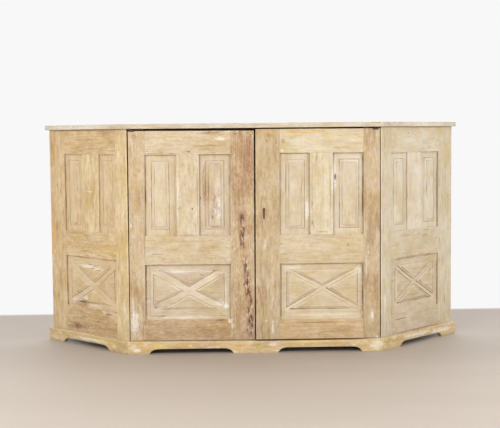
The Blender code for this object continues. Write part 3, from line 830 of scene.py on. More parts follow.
def node_points(node: str) -> np.ndarray:
    """All corners of a CAD node."""
    return np.array([corner.co for corner in frame["nodes"][node].data.vertices])


def node_span(node: str, axes: Axes) -> tuple[np.ndarray, np.ndarray]:
    """A CAD node's least and greatest reach in some axes."""
    local = axes.local(node_points(node))
    return local.min(axis=0), local.max(axis=0)


def seed_of(name: str) -> float:
    """A steady number for each piece, from its name."""
    return crc32(name.encode()) % 1000 / 10


def write_attribute(mesh: bpy.types.Mesh, name: str, kind: str, domain: str, values: np.ndarray) -> None:
    """Store one attribute on a mesh.

    Args:
        mesh: the mesh.
        name: the attribute's name.
        kind: its Blender type.
        domain: POINT or FACE.
        values: one row for each point or face.
    """
    keys = {"FLOAT": "value", "FLOAT_VECTOR": "vector", "FLOAT_COLOR": "color"}
    attribute = mesh.attributes.new(name, kind, domain)
    attribute.data.foreach_set(keys[kind], np.asarray(values, np.float32).ravel())


@dataclass
class Piece:
    """What every dressed piece of wood shares: its CAD node, axes, tone and finish."""

    node: str
    axes: Axes
    tone: Tone
    finish: PineFinish
    slot: str
    bend: Callable[[np.ndarray], np.ndarray] | None = field(default=None, kw_only=True)
    SHARP = radians(32)
    WALL_TILT, LEDGE_TILT, INSIDE_TILT = 0.4, 0.5, -0.6

    def place(self, bm: Shape, soil: dict[int, float] | None = None) -> bpy.types.Object:
        """Turn a finished bmesh into the piece that stands for its node.

        Args:
            bm: the shape, in the cabinet's frame; it is freed.
            soil: from -1 (pale paint) to 1 (dirt with painted shade), by vertex number.

        Returns:
            The new object.
        """
        bmesh.ops.recalc_face_normals(bm, faces=bm.faces)
        bm.normal_update()
        rubbed = bm.faces.layers.int.get("rubbed")
        kinds = [self.kind(face, rubbed) for face in bm.faces]
        if self.bend:
            for corner, moved in zip(bm.verts, self.bend(np.array([corner.co for corner in bm.verts]))):
                corner.co = moved
        mesh = bpy.data.meshes.new(f"worn_{self.node}")
        bm.to_mesh(mesh)
        bm.free()
        mesh.shade_smooth()
        mesh.set_sharp_from_angle(angle=self.SHARP)
        self.mark_out(mesh, kinds, soil or {})
        mesh.materials.append(self.finish.material())
        made = bpy.data.objects.new(f"worn_{self.node}", mesh)
        bpy.context.scene.collection.objects.link(made)
        even = made.modifiers.new("flat_faces_stay_flat", "WEIGHTED_NORMAL")
        even.keep_sharp = True
        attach(made, frame["nodes"][self.node]["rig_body"])
        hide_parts(self.node)
        LOG.info("piece %s, %d faces", made.name, len(mesh.polygons))
        return made

    def kind(self, face: bmesh.types.BMFace, rubbed: object) -> Place:
        """What a face is, for its finish.

        Args:
            face: the face.
            rubbed: the layer that marks rubbed arrises, if there is one.

        Returns:
            1 for a rubbed arris, 1 for a wall square to the front (-1 for a ledge), 1 for an inner face.
        """
        if rubbed and face[rubbed]:
            return (1.0, 0.0, 0.0)
        out = face.normal.dot(self.axes.outward)
        wall = -1.0 if face.normal.z > self.LEDGE_TILT else 1.0
        return (0.0, 0.0 if abs(out) > self.WALL_TILT else wall, float(out < self.INSIDE_TILT))

    def mark_out(self, mesh: bpy.types.Mesh, kinds: list, soil: dict[int, float]) -> None:
        """Store the piece's own coordinates, tone and masks on its mesh.

        Args:
            mesh: the piece's mesh.
            kinds: what each face is.
            soil: from -1 (pale paint) to 1 (dirt with painted shade), by vertex number.
        """
        count = len(mesh.vertices)
        local = self.axes.local(np.array([vertex.co for vertex in mesh.vertices]))
        middle = (local.min(axis=0) + local.max(axis=0)) / 2
        write_attribute(mesh, "board", "FLOAT_VECTOR", "POINT", local - middle)
        write_attribute(mesh, "seed", "FLOAT", "POINT", np.full(count, seed_of(self.node)))
        write_attribute(mesh, "tone", "FLOAT_COLOR", "POINT", np.tile(self.tone.stained, (count, 1)))
        write_attribute(mesh, "soil", "FLOAT", "POINT", [soil.get(i, 0.0) for i in range(count)])
        write_attribute(mesh, "kind", "FLOAT_VECTOR", "FACE", np.array(kinds))


@dataclass
class Board(Piece):
    """A board from its CAD solid, joints and all, with its arrises rubbed down unevenly."""

    edge: float = 0.0008
    wear: float = 1.6
    most: float = 2.2
    free: Callable[[np.ndarray], float] = lambda point: 1.0
    cuts: tuple[float, ...] = ()
    STEP, ROUNDS = 0.011, 2
    FLAT_ANGLE, FLAT_TILT, FLAT_REACH = radians(0.5), 0.99, 0.0001
    WAVE, RIPPLE, CHIP = 23, 71, 48
    RIPPLE_SHARE, CHIP_LEVEL, CHIP_DEPTH = 0.6, 0.42, 7
    JOINT_WEAR, FREE_WEAR, MEAN, SWING = 0.45, 0.5, 0.35, 0.8

    def build(self) -> bpy.types.Object:
        """Rub the arrises of the solid and dress it.

        Returns:
            The worn board.
        """
        bm = bmesh.new()
        bm.from_mesh(frame["nodes"][self.node].data)
        bmesh.ops.remove_doubles(bm, verts=bm.verts, dist=WELD)
        bmesh.ops.dissolve_limit(bm, angle_limit=self.FLAT_ANGLE, verts=bm.verts, edges=bm.edges)
        for x in self.cuts:
            bmesh.ops.bisect_plane(bm, geom=[*bm.verts, *bm.edges, *bm.faces], plane_co=(x, 0.0, 0.0),
                                   plane_no=(1.0, 0.0, 0.0))
        rubbed = bm.faces.layers.int.new("rubbed")
        arrises = self.divided(bm, self.arrises(bm))
        lines = np.array([[corner.co for corner in edge.verts] for edge in arrises])
        grown = bmesh.ops.bevel(bm, geom=arrises, offset=self.edge, offset_type="OFFSET",
                                segments=self.ROUNDS, profile=0.5, affect="EDGES", clamp_overlap=False)
        for face in grown["faces"]:
            face[rubbed] = 1
        self.rub({corner for face in grown["faces"] for corner in face.verts}, lines)
        return self.place(bm)

    def arrises(self, bm: Shape) -> list[Edge]:
        """The edges round the board's two faces, without those of holes in them.

        Args:
            bm: the solid.

        Returns:
            The edges.
        """
        bm.normal_update()
        local = self.axes.local(np.array([corner.co for corner in bm.verts]))
        low, high = local.min(axis=0), local.max(axis=0)
        faces = set()
        for face in bm.faces:
            out = face.normal.dot(self.axes.outward)
            reach = face.calc_center_median().dot(self.axes.outward)
            gap = min(abs(reach - high[2]), abs(reach - low[2]))
            if abs(out) > self.FLAT_TILT and gap < self.FLAT_REACH:
                faces.add(face)
        edges = {edge for face in faces for edge in face.edges
                 if sum(near in faces for near in edge.link_faces) == 1}
        kept = []
        while edges:
            ring, grow = set(), [edges.pop()]
            while grow:
                edge = grow.pop()
                ring.add(edge)
                near = {other for corner in edge.verts for other in corner.link_edges} & edges
                edges -= near
                grow.extend(near)
            along = [corner.co.dot(self.axes.along) for edge in ring for corner in edge.verts]
            if max(along) - min(along) > (high[0] - low[0]) / 2:
                kept.extend(ring)
        return kept

    def divided(self, bm: Shape, edges: list[Edge]) -> list[Edge]:
        """Divide long edges, so that they can wear unevenly.

        Args:
            bm: the solid.
            edges: the edges to divide.

        Returns:
            All the shorter edges.
        """
        short = []
        for edge in edges:
            count = max(1, round(edge.calc_length() / self.STEP))
            start = edge.verts[0]
            for left in range(count, 1, -1):
                piece, start = bmesh.utils.edge_split(edge, start, 1 / left)
                short.append(piece)
            short.append(edge)
        return short

    def rub(self, corners: set[Corner], lines: np.ndarray) -> None:
        """Widen or narrow the rounded arris along its length.

        Args:
            corners: the rounded edges' vertices.
            lines: the sharp edges that they came from, as pairs of points.
        """
        seed = Vector((seed_of(self.node), 0.0, 0.0))
        starts, spans = lines[:, 0], lines[:, 1] - lines[:, 0]
        lengths = np.maximum((spans ** 2).sum(axis=1), 1e-12)
        for corner in corners:
            point = np.array(corner.co)
            share = np.clip(((point - starts) * spans).sum(axis=1) / lengths, 0, 1)
            near = starts + spans * share[:, None]
            nearest = near[((near - point) ** 2).sum(axis=1).argmin()]
            at = Vector(nearest)
            slow = noise(at * self.WAVE + seed) + self.RIPPLE_SHARE * noise(at * self.RIPPLE + seed)
            chip = max(0.0, noise(at * self.CHIP - seed) - self.CHIP_LEVEL) * self.CHIP_DEPTH
            uneven = self.wear * max(0.0, self.MEAN + self.SWING * slow + chip)
            factor = self.JOINT_WEAR + self.free(nearest) * (self.FREE_WEAR + uneven)
            corner.co = at + (corner.co - at) * min(factor, self.most)


def inset(outline: Sequence[Point], distance: float) -> list[Point]:
    """Move a convex outline's sides inwards.

    Args:
        outline: the corners, anticlockwise.
        distance: how far each side moves.

    Returns:
        The new corners.
    """
    count, moved = len(outline), []
    for i in range(count):
        (x0, y0), (x1, y1) = outline[i], outline[(i + 1) % count]
        run = hypot(x1 - x0, y1 - y0)
        dx, dy = -(y1 - y0) / run * distance, (x1 - x0) / run * distance
        moved.append(((x0 + dx, y0 + dy), (x1 + dx, y1 + dy)))
    return [crossing(*moved[i - 1], *moved[i]) for i in range(count)]


def crossing(a: Point, b: Point, c: Point, d: Point) -> Point:
    """Where two lines meet.

    Args:
        a, b: two points on the first line.
        c, d: two points on the second line.

    Returns:
        The point on both.
    """
    ux, uy, vx, vy = b[0] - a[0], b[1] - a[1], d[0] - c[0], d[1] - c[1]
    share = ((c[0] - a[0]) * vy - (c[1] - a[1]) * vx) / (ux * vy - uy * vx)
    return (a[0] + ux * share, a[1] + uy * share)


def rectangle(low: Point, high: Point) -> list[Point]:
    """A rectangle's corners, anticlockwise."""
    return [low, (high[0], low[1]), high, (low[0], high[1])]


@dataclass(frozen=True)
class Rim:
    """How dark a panel is painted along each edge of its opening, from -1 (pale paint) to 1 (dirt with
    painted shade).
    """

    low: float = 0.5
    right: float = 0.5
    top: float = 0.5
    left: float = 0.5

    def at(self, side: int) -> float:
        """The dirt along a side, counted anticlockwise from the lower one."""
        return (self.low, self.right, self.top, self.left)[side]


@dataclass
class Carving:
    """A shape cut into or raised from a panel: its outline and the profile that its rings follow.

    Each ring of the profile is (inset, height over the ground, dirt with painted shade, pale paint). The last
    two are then weighted for each side of the outline.
    """

    outline: list[Point]
    profile: tuple[tuple[float, float, float, float], ...]
    dirt: tuple[float, ...]
    lime: tuple[float, ...]

    def soil(self, dirt: float, lime: float) -> list[float]:
        """Dirt with painted shade, less pale paint, for each side."""
        return [dirt * more - lime * pale for more, pale in zip(self.dirt, self.lime)]


@dataclass
class CarvedPanel(Piece):
    """A thin panel with carvings on its face, seated in the frame's grooves."""

    opening: Opening = ((0, 0), (0, 0))
    rim: Rim = Rim()
    raised: float = 0.0
    carvings: list[Carving] = field(default_factory=list)
    bm: Shape | None = None
    ground: float = 0.0
    soil: dict[Corner, float] = field(default_factory=dict)
    STEP = 0.015
    FIELD_STEP = 0.001
    WANDER, WANDER_RATE, OTHER_NOISE = 0.0004, 19, Vector((0, 0, 9))
    SOIL_RATE, SOIL_MEAN, SOIL_SWING, SOIL_LEAST = 17, 0.65, 1.7, 0.05
    # Painted shade with dirt: how far in from the opening's edge the panel is darkened.
    RIM_BANDS = ((0.0, 1.0), (0.0024, 0.75), (0.0062, 0.0))
    CLEAN = (0.0,) * 4

    @property
    def upright(self) -> bool:
        """Whether the panel's grain stands upright."""
        return self.axes.along.z > 0.5

    def build(self) -> bpy.types.Object:
        """Model the panel and dress it. Places on its face are (across, up).

        Returns:
            The panel.
        """
        low, high = node_span(self.node, self.axes)
        ends = ((low[1], low[0]), (high[1], high[0])) if self.upright else (low[:2], high[:2])
        tongue = rectangle(*ends)
        edge = rectangle(*self.opening)
        counts = self.counts(edge)
        self.bm = bmesh.new()
        self.ground = self.ground_level(high[2])
        rings = [self.ring(tongue, counts, 0.0, self.CLEAN)]
        for away, share in self.RIM_BANDS:
            dirt = [self.rim.at(side) * share for side in range(4)]
            rings.append(self.ring(inset(edge, away), counts, 0.0, dirt))
        for outer, inner in zip(rings, rings[1:]):
            self.bridge(outer, inner)
        self.fill(rings[-1], [self.carve(carving) for carving in self.carvings])
        back = self.ring(tongue, counts, low[2] - self.ground, self.CLEAN)
        self.bridge(rings[0], back)
        self.bm.faces.new(back)
        self.bm.verts.index_update()
        return self.place(self.bm, {corner.index: dirt for corner, dirt in self.soil.items()})

    def ground_level(self, front: float) -> float:
        """How far out the panel's ground lies, behind its raised fields."""
        levels = self.axes.local(node_points(self.node))[:, 2]
        return float(levels[levels < front - self.FIELD_STEP].max()) + self.raised

    def counts(self, outline: Sequence[Point]) -> list[int]:
        """Steps along each side of an outline."""
        sides = zip(outline, [*outline[1:], outline[0]])
        return [max(2, round(hypot(b[0] - a[0], b[1] - a[1]) / self.STEP)) for a, b in sides]

    def point(self, place: Point, height: float) -> Corner:
        """Add one vertex, a little off true as hand work is.

        Args:
            place: where on the face.
            height: over the panel's ground.

        Returns:
            The vertex.
        """
        at = Vector((place[0] * self.WANDER_RATE, place[1] * self.WANDER_RATE, seed_of(self.node)))
        across = place[0] + noise(at) * self.WANDER
        up = place[1] + noise(at + self.OTHER_NOISE) * self.WANDER
        local = (up, across) if self.upright else (across, up)
        return self.bm.verts.new(self.axes.world((*local, self.ground + height)))

    def ring(self, outline: Sequence[Point], counts: Sequence[int], height: float,
             soil: Sequence[float]) -> list[Corner]:
        """Add one closed ring of vertices.

        Args:
            outline: the corners, anticlockwise.
            counts: steps along each side.
            height: over the panel's ground.
            soil: for each side, from -1 (pale paint) to 1 (dirt with painted shade).

        Returns:
            The vertices, in order.
        """
        made = []
        for side, (start, end) in enumerate(zip(outline, [*outline[1:], outline[0]])):
            for step in range(counts[side]):
                share = step / counts[side]
                corner = self.point(tuple(a + (b - a) * share for a, b in zip(start, end)), height)
                uneven = self.SOIL_MEAN + self.SOIL_SWING * noise(corner.co * self.SOIL_RATE)
                self.soil[corner] = max(-1.0, min(1.0, soil[side] * max(self.SOIL_LEAST, uneven)))
                made.append(corner)
        return made

    def bridge(self, outer: list[Corner], inner: list[Corner]) -> None:
        """Join two rings of equal count with faces."""
        for i, corner in enumerate(outer):
            self.bm.faces.new((outer[i - 1], corner, inner[i], inner[i - 1]))

    def carve(self, carving: Carving) -> list[Corner]:
        """Build one carving from its outermost ring to its cap.

        Args:
            carving: its outline and profile.

        Returns:
            The outermost ring, which lies in the ground.
        """
        counts = self.counts(carving.outline)
        rings = [self.ring(inset(carving.outline, away), counts, height, carving.soil(dirt, lime))
                 for away, height, dirt, lime in carving.profile]
        for outer, inner in zip(rings, rings[1:]):
            self.bridge(outer, inner)
        self.bm.faces.new(rings[-1])
        return rings[0]

    def fill(self, edge: list[Corner], holes: list[list[Corner]]) -> None:
        """Fill the ground between the edge and the carvings.

        Args:
            edge: the innermost ring of the rim.
            holes: the carvings' outermost rings.
        """
        along, across = self.axes.along, self.axes.across
        corners = [corner for loop in (edge, *holes) for corner in loop]
        flat = [[Vector((corner.co.dot(along), corner.co.dot(across), 0.0)) for corner in loop]
                for loop in (edge, *holes)]
        for triangle in tessellate_polygon(flat):
            self.bm.faces.new([corners[i] for i in triangle])


# In these profiles the dirt weights also paint shade into the grooves and at the foot of each step.
FIELD_PROFILE = ((-0.0022, 0.0, 0.0, 0.8), (0.0, 0.0, 0.5, 0.0), (0.0004, -0.0010, 0.85, 0.0),
                 (0.0014, -0.0010, 0.85, 0.0), (0.0022, 0.0005, 0.4, 0.1), (0.0045, 0.0012, 0.0, 0.9),
                 (0.0100, 0.0034, 0.0, 0.9), (0.0122, 0.0041, 0.65, 0.1), (0.0128, 0.0052, 0.55, 0.0),
                 (0.0138, 0.0055, 0.3, 0.0), (0.0165, 0.0055, 0.0, 0.0))
CROSS_PROFILE = ((-0.0022, 0.0, 0.0, 0.8), (0.0, 0.0, 0.5, 0.0), (0.0004, -0.0012, 0.95, 0.0),
                 (0.0016, -0.0012, 0.95, 0.0), (0.0022, 0.0005, 0.4, 0.1), (0.0040, 0.0012, 0.0, 0.6),
                 (0.0072, 0.0034, 0.0, 0.6), (0.0088, 0.0041, 0.55, 0.1), (0.0094, 0.0052, 0.50, 0.0),
                 (0.0104, 0.0055, 0.25, 0.0), (0.0130, 0.0055, 0.0, 0.0))
QUIRK_PROFILE = ((-0.0016, 0.0, 0.0, 0.1), (0.0, 0.0, 0.3, 0.2), (0.0005, -0.0011, 0.7, 0.2))


@dataclass(frozen=True)
class Crooked:
    """How far hand work has a frame's edges off true, in millimetres.

    The uprights go from left to right (or front to back): outer edge, opening, the muntin's two edges,
    opening, outer edge, each moved across at its (lower, upper) end. The levels go from the bottom up: outer
    edge, opening, the middle rail's two edges, opening, outer edge, each moved up at its (left, right) end.
    """

    uprights: tuple[Point, ...]
    levels: tuple[Point, ...]

    @staticmethod
    def between(places: np.ndarray, lines: np.ndarray, ends: Sequence[Point],
                share: np.ndarray) -> np.ndarray:
        """How far places move that lie between some lines.

        Args:
            places: the places, square to the lines.
            lines: where the lines are, in order.
            ends: how far each line moves at its two ends, in millimetres.
            share: how far along the lines each place is, 0 to 1.

        Returns:
            The movement of each place.
        """
        start, end = np.array(ends).T * MM
        at = np.clip(np.searchsorted(lines, places) - 1, 0, len(lines) - 2)
        part = np.clip((places - lines[at]) / (lines[at + 1] - lines[at]), 0, 1)
        near = start[at] + (end - start)[at] * share
        far = start[at + 1] + (end - start)[at + 1] * share
        return near + (far - near) * part


@dataclass(frozen=True)
class Slit:
    """A keyhole that has been filed longer: its place in a frame, its growth and how far it has moved."""

    x: float = 0.0395
    reach: float = 0.007
    low: float = 0.5635
    high: float = 0.5955
    grow: float = 0.45
    shift: Point = (-0.0035, -0.0037)
    SPREAD = (0.008, 0.022)
    RISE = (0.026, 0.048)
    LIFT = 0.007

    def share(self, up: np.ndarray, across: np.ndarray) -> np.ndarray:
        """How much of the movement places near the keyhole share in.

        Args:
            up, across: the places.

        Returns:
            1 at the keyhole, down to 0 away from it.
        """
        beside = np.interp(np.abs(across - self.x), self.SPREAD, (1.0, 0.0))
        middle = (self.low + self.high) / 2 + self.LIFT
        return beside * np.interp(np.abs(up - middle), self.RISE, (1.0, 0.0))


@dataclass(frozen=True)
class CrossLook:
    """A lower panel's carved cross: margins, width of its arms, beads, dirt with painted shade, and pale
    paint.

    The beads stand at some distances from the left (or front) edge, the low one over the lower edge.
    Dirt with painted shade, and pale paint, are for the lower, right, upper and left triangle, whose sides
    start with the one along the frame.
    """

    left: float = 0.020
    right: float = 0.020
    top: float = 0.023
    low: float = 0.039
    band: float = 0.014
    beads: tuple[float, ...] = (0.0120,)
    low_bead: float = 0.0
    drop: float = 0.0
    dirt: tuple[Place, ...] = ((1.0, 0.9, 0.8), (0.1, 0.1, 0.8), (0.1, 1.0, 0.4), (0.8, 0.5, 0.1))
    lime: tuple[Place, ...] = ((0.3, 0.5, 0.5), (0.3, 0.6, 0.5), (0.4, 0.5, 0.5), (0.3, 0.5, 0.6))


@dataclass
class FramedPanels:
    """A door or a canted side: two stiles, three rails, a muntin and three panels."""

    name: str
    upright: Axes
    stiles: tuple[str, str]
    middle_rail: str
    panels: tuple[str, str]
    wood: PineFinish
    panel_wood: PineFinish
    tones: dict[str, Tone]
    rims: dict[str, Rim]
    crooked: Crooked
    cross: CrossLook
    raised: float = 0.0
    margins: dict[str, tuple[float, ...]] = field(default_factory=dict)
    quirk_wide: float = 0.0022
    quirk_end: float = 0.014
    line_dirt: float = 1.0
    slit: Slit | None = None
    outer: Opening = field(init=False)
    cross_opening: Opening = field(init=False)
    upper_openings: list[Opening] = field(init=False)
    columns: np.ndarray = field(init=False)
    rows: np.ndarray = field(init=False)
    TOUCH = 0.002
    EVEN_MARGINS = (0.025,) * 4
    FIELD_DIRT, FIELD_LIME = (0.55, 0.6, 0.45, 0.75), (0.7, 0.3, 0.7, 0.2)
    QUIRK_DIRT, QUIRK_LIME = (0.6,) * 4, (0.8,) * 4

    def span(self, label: str) -> tuple[np.ndarray, np.ndarray]:
        """A sub-piece's reach up, across and outward."""
        return node_span(f"{self.name}_{label}", self.upright)

    def measure(self) -> None:
        """Find the frame's outer edge and its three openings from the solids."""
        near, far = sorted((self.span(stile) for stile in self.stiles), key=lambda reach: reach[0][1])
        muntin = self.span("muntin")
        left, right = near[1][1], far[0][1]
        low, high = self.span("bottom_rail")[1][0], self.span("top_rail")[0][0]
        middle = self.span(self.middle_rail)
        self.outer = ((near[0][1], near[0][0]), (far[1][1], near[1][0]))
        self.cross_opening = ((left, low), (right, middle[0][0]))
        self.upper_openings = [((left, middle[1][0]), (muntin[0][1], high)),
                               ((muntin[1][1], middle[1][0]), (right, high))]
        self.columns = np.array([near[0][1], left, muntin[0][1], muntin[1][1], right, far[1][1]])
        self.rows = np.array([near[0][0], low, middle[0][0], middle[1][0], high, near[1][0]])

    def bend(self, points: np.ndarray) -> np.ndarray:
        """Move points as the frame is crooked.

        Args:
            points: points in the cabinet's frame, one a row.

        Returns:
            The moved points.
        """
        local = self.upright.local(points)
        up, across = local[:, 0].copy(), local[:, 1].copy()
        height = np.clip((up - self.rows[0]) / np.ptp(self.rows), 0, 1)
        width = np.clip((across - self.columns[0]) / np.ptp(self.columns), 0, 1)
        local[:, 0] += Crooked.between(up, self.rows, self.crooked.levels, width)
        local[:, 1] += Crooked.between(across, self.columns, self.crooked.uprights, height)
        if self.slit:
            beside = np.abs(across - self.slit.x) < self.slit.reach
            near = beside & (up > self.slit.low) & (up < self.slit.high)
            local[near, 0] += (up[near] - self.slit.low) * self.slit.grow
            share = self.slit.share(up, across)
            local[:, 1] += share * self.slit.shift[0]
            local[:, 0] += share * self.slit.shift[1]
        return local @ self.upright.matrix()

    def free(self, point: np.ndarray) -> float:
        """Whether an edge of the frame is free to wear.

        Args:
            point: a point on the edge.

        Returns:
            1 at the frame's outer edge and round its openings, 0 where two pieces meet.
        """
        up, across, _ = self.upright.local(point)
        for low, high in (self.outer, self.cross_opening, *self.upper_openings):
            inside = (low[0] - self.TOUCH < across < high[0] + self.TOUCH
                      and low[1] - self.TOUCH < up < high[1] + self.TOUCH)
            gap = min(abs(across - low[0]), abs(across - high[0]), abs(up - low[1]), abs(up - high[1]))
            if inside and gap < self.TOUCH:
                return 1.0
        return 0.0

    def build(self) -> None:
        """Build and dress the whole frame."""
        self.measure()
        for label in (*self.stiles, "muntin"):
            self.board(label, self.upright)
        for label in ("top_rail", self.middle_rail, "bottom_rail"):
            self.board(label, self.upright.turned())
        for label in self.panels:
            reach = self.span(label)
            middle = (reach[0][1] + reach[1][1]) / 2
            opening = min(self.upper_openings, key=lambda o: abs((o[0][0] + o[1][0]) / 2 - middle))
            left, low, right, top = self.margins.get(label, self.EVEN_MARGINS)
            outline = rectangle((opening[0][0] + left, opening[0][1] + low),
                                (opening[1][0] - right, opening[1][1] - top))
            raised = Carving(outline, FIELD_PROFILE, self.lined(self.FIELD_DIRT), self.FIELD_LIME)
            self.panel(label, self.upright, opening, [raised])
        self.panel("cross_panel", self.upright.turned(), self.cross_opening, self.cross_carvings())

    def board(self, label: str, axes: Axes) -> bpy.types.Object:
        """Build one stile, rail or muntin."""
        return Board(f"{self.name}_{label}", axes, self.tones[label], self.wood, "frame_pine",
                     free=self.free, bend=self.bend).build()

    def panel(self, label: str, axes: Axes, opening: Opening, carvings: list[Carving]) -> bpy.types.Object:
        """Build one panel."""
        return CarvedPanel(f"{self.name}_{label}", axes, self.tones[label], self.panel_wood, "panel_pine",
                           opening=opening, rim=self.rims.get(label, Rim()), carvings=carvings,
                           raised=self.raised, bend=self.bend).build()

    def lined(self, weights: Sequence[float]) -> tuple[float, ...]:
        """Weights of dirt and painted shade as strong as this frame shows them."""
        return tuple(weight * self.line_dirt for weight in weights)

    def cross_carvings(self) -> list[Carving]:
        """The four raised triangles that leave the cross between them, and the quirks beside them.

        Returns:
            The carvings of the lower panel.
        """
        (left, low), (right, high) = self.cross_opening
        look = self.cross
        x0, x1 = left + look.left, right - look.right
        z0, z1 = low + look.low, high - look.top
        x, z = (x0 + x1) / 2, (z0 + z1) / 2 - look.drop
        slope = atan((z1 - z0) / (x1 - x0))
        across, up = look.band / 2 / sin(slope), look.band / 2 / cos(slope)
        triangles = ([(x0 + across, z0), (x1 - across, z0), (x, z - up)],
                     [(x1, z0 + up), (x1, z1 - up), (x + across, z)],
                     [(x1 - across, z1), (x0 + across, z1), (x, z + up)],
                     [(x0, z1 - up), (x0, z0 + up), (x - across, z)])
        wide, end = self.quirk_wide, self.quirk_end
        quirks = [rectangle((left + away, low + end), (left + away + wide, high - end))
                  for away in look.beads]
        if look.low_bead:
            side = left + max(look.beads) + 3 * wide
            quirks.append(rectangle((side, low + look.low_bead), (right - end, low + look.low_bead + wide)))
        return [*(Carving(outline, CROSS_PROFILE, self.lined(dirt), lime)
                  for outline, dirt, lime in zip(triangles, look.dirt, look.lime)),
                *(Carving(outline, QUIRK_PROFILE, self.lined(self.QUIRK_DIRT), self.QUIRK_LIME)
                  for outline in quirks)]


def laid(kind: MarkKind, *places: tuple[float, ...]) -> tuple[Mark, ...]:
    """Some marks of one kind, from each one's centre, half sizes and strength."""
    return tuple(Mark(kind, *place) for place in places)


LEFT_DOOR_MARKS = (
    *laid(RED_STAIN, (-28, 815, 36, 125, 0.9), (-42, 690, 26, 62, 0.6)),
    *laid(BROWN_STAIN, (-20, 830, 12, 105, 0.6), (-76, 620, 14, 120, 0.4), (-64, 860, 30, 90, 0.4)),
    Mark(RED_STAIN, -172, 910, 62, 12, 0.8),
    Mark(BROWN_STAIN, -192, 858, 76, 7, 0.7),
    *laid(LINE, (-277, 492, 50, 3, 0.6), (-162, 490, 66, 3, 0.5)),
    Mark(WHITE_PAINT, -135, 887, 28, 11, 0.9),
    Mark(KNOT, -268, 835, 8, 6, 0.7),
    Mark(HOLE, -79, 906, 4, 6, 0.7),
    Mark(KNOT, -54, 562, 12, 22, 0.9),
    *laid(HOLE, (-46, 286, 4.5, 5, 1.0), (-33, 283, 4, 4.5, 1.0)),
    Mark(GREY_WASH, -24, 112, 24, 62, 0.7),
    Mark(BROWN_STAIN, -479, 629, 16, 70, 0.5),
    Mark(WHITE_PAINT, -503, 186, 10, 52, 0.6),
    Mark(WHITE_PATCH, -498, 134, 20, 66, 0.6),
    Mark(WHITE_PAINT, -508, 535, 6, 10, 0.9),
    Mark(BROWN_STAIN, -468, 250, 9, 70, 0.45),
    Mark(HOLE, -256, 601, 3.4, 7, 0.9),
    Mark(KNOT, -314, 602, 5, 6, 0.6),
    Mark(LINE, -234, 665, 2.2, 180, 0.7),
    Mark(WHITE_PAINT, -315, 640, 8, 160, 0.6),
    Mark(BROWN_STAIN, -309, 590, 5, 90, 0.5),
    Mark(HOLE, -162, 396, 4, 3, 0.6),
    # Painted shadow: a dark line at the lower edge of the cross panel's opening.
    Mark(LINE, -149, 137, 27, 3.5, 1.0),
    Mark(DARK_STREAK, -142, 139, 28, 4, 0.9),
    *laid(WHITE_PAINT, (-104, 134, 14, 14, 0.8), (-94, 113, 12, 16, 0.7)),
    Mark(GREY_LINE, -102, 87, 3, 26, 0.8),
    *laid(WHITE_PATCH, (-103, 917, 17, 3.5, 0.9), (-69, 917, 6, 3.5, 0.9)),
    Mark(HOLE, -82, 740, 3.4, 4, 0.7),
    *laid(BROWN_STAIN, (-446, 134, 18, 9, 0.6), (-490, 898, 16, 14, 0.5)),
)
LEFT_DOOR_SHAKES = (
    Shake((-56, 596), (-48, 425), 14),
    Shake((-42, 415), (-24, 175), 15),
    Shake((-24, 210), (-20, 60), 17),
)
LEFT_PANEL_MARKS = (
    Mark(RED_STAIN, -205, 694, 13, 118, 0.85),
    Mark(BROWN_STAIN, -188, 680, 5, 110, 0.5),
    Mark(KNOT, -173, 565, 6, 11, 0.6),
    Mark(RUST, -158, 577, 8, 2.4, 0.6),
    Mark(WHITE_PAINT, -150, 640, 26, 130, 0.35),
    *laid(WHITE_PATCH, (-148, 600, 22, 60, 0.5), (-121, 194, 15, 13, 1.0), (-146, 207, 34, 13, 0.75)),
    *laid(WHITE_PAINT, (-270, 150, 165, 9, 0.7), (-300, 346, 120, 7, 0.5)),
    Mark(WHITE_PATCH, -318, 340, 58, 7, 0.55),
    *laid(RUST, (-395, 345, 7, 3, 0.7), (-171, 343, 9, 3.5, 0.7)),
    Mark(LINE, -219, 326, 16, 3.5, 0.8),
    *laid(BROWN_STAIN, (-275, 300, 50, 22, 0.4), (-250, 176, 120, 5, 0.45)),
    Mark(KNOT, -413, 192, 10, 7, 0.7),
    *laid(GREY_WASH, (-383, 795, 42, 12, 0.7), (-383, 527, 42, 10, 0.7)),
    # Painted shadow: grey and brown lines under the inner panel's raised field.
    Mark(GREY_LINE, -159, 522, 32, 4.5, 0.9),
    Mark(LINE, -156, 527, 33, 2.2, 0.7),
    Mark(GREY_LINE, -162, 788, 24, 4, 0.6),
)
LEFT_PANEL_SHAKES = (Shake((-160, 700), (-158, 556), 24, 0.32),)
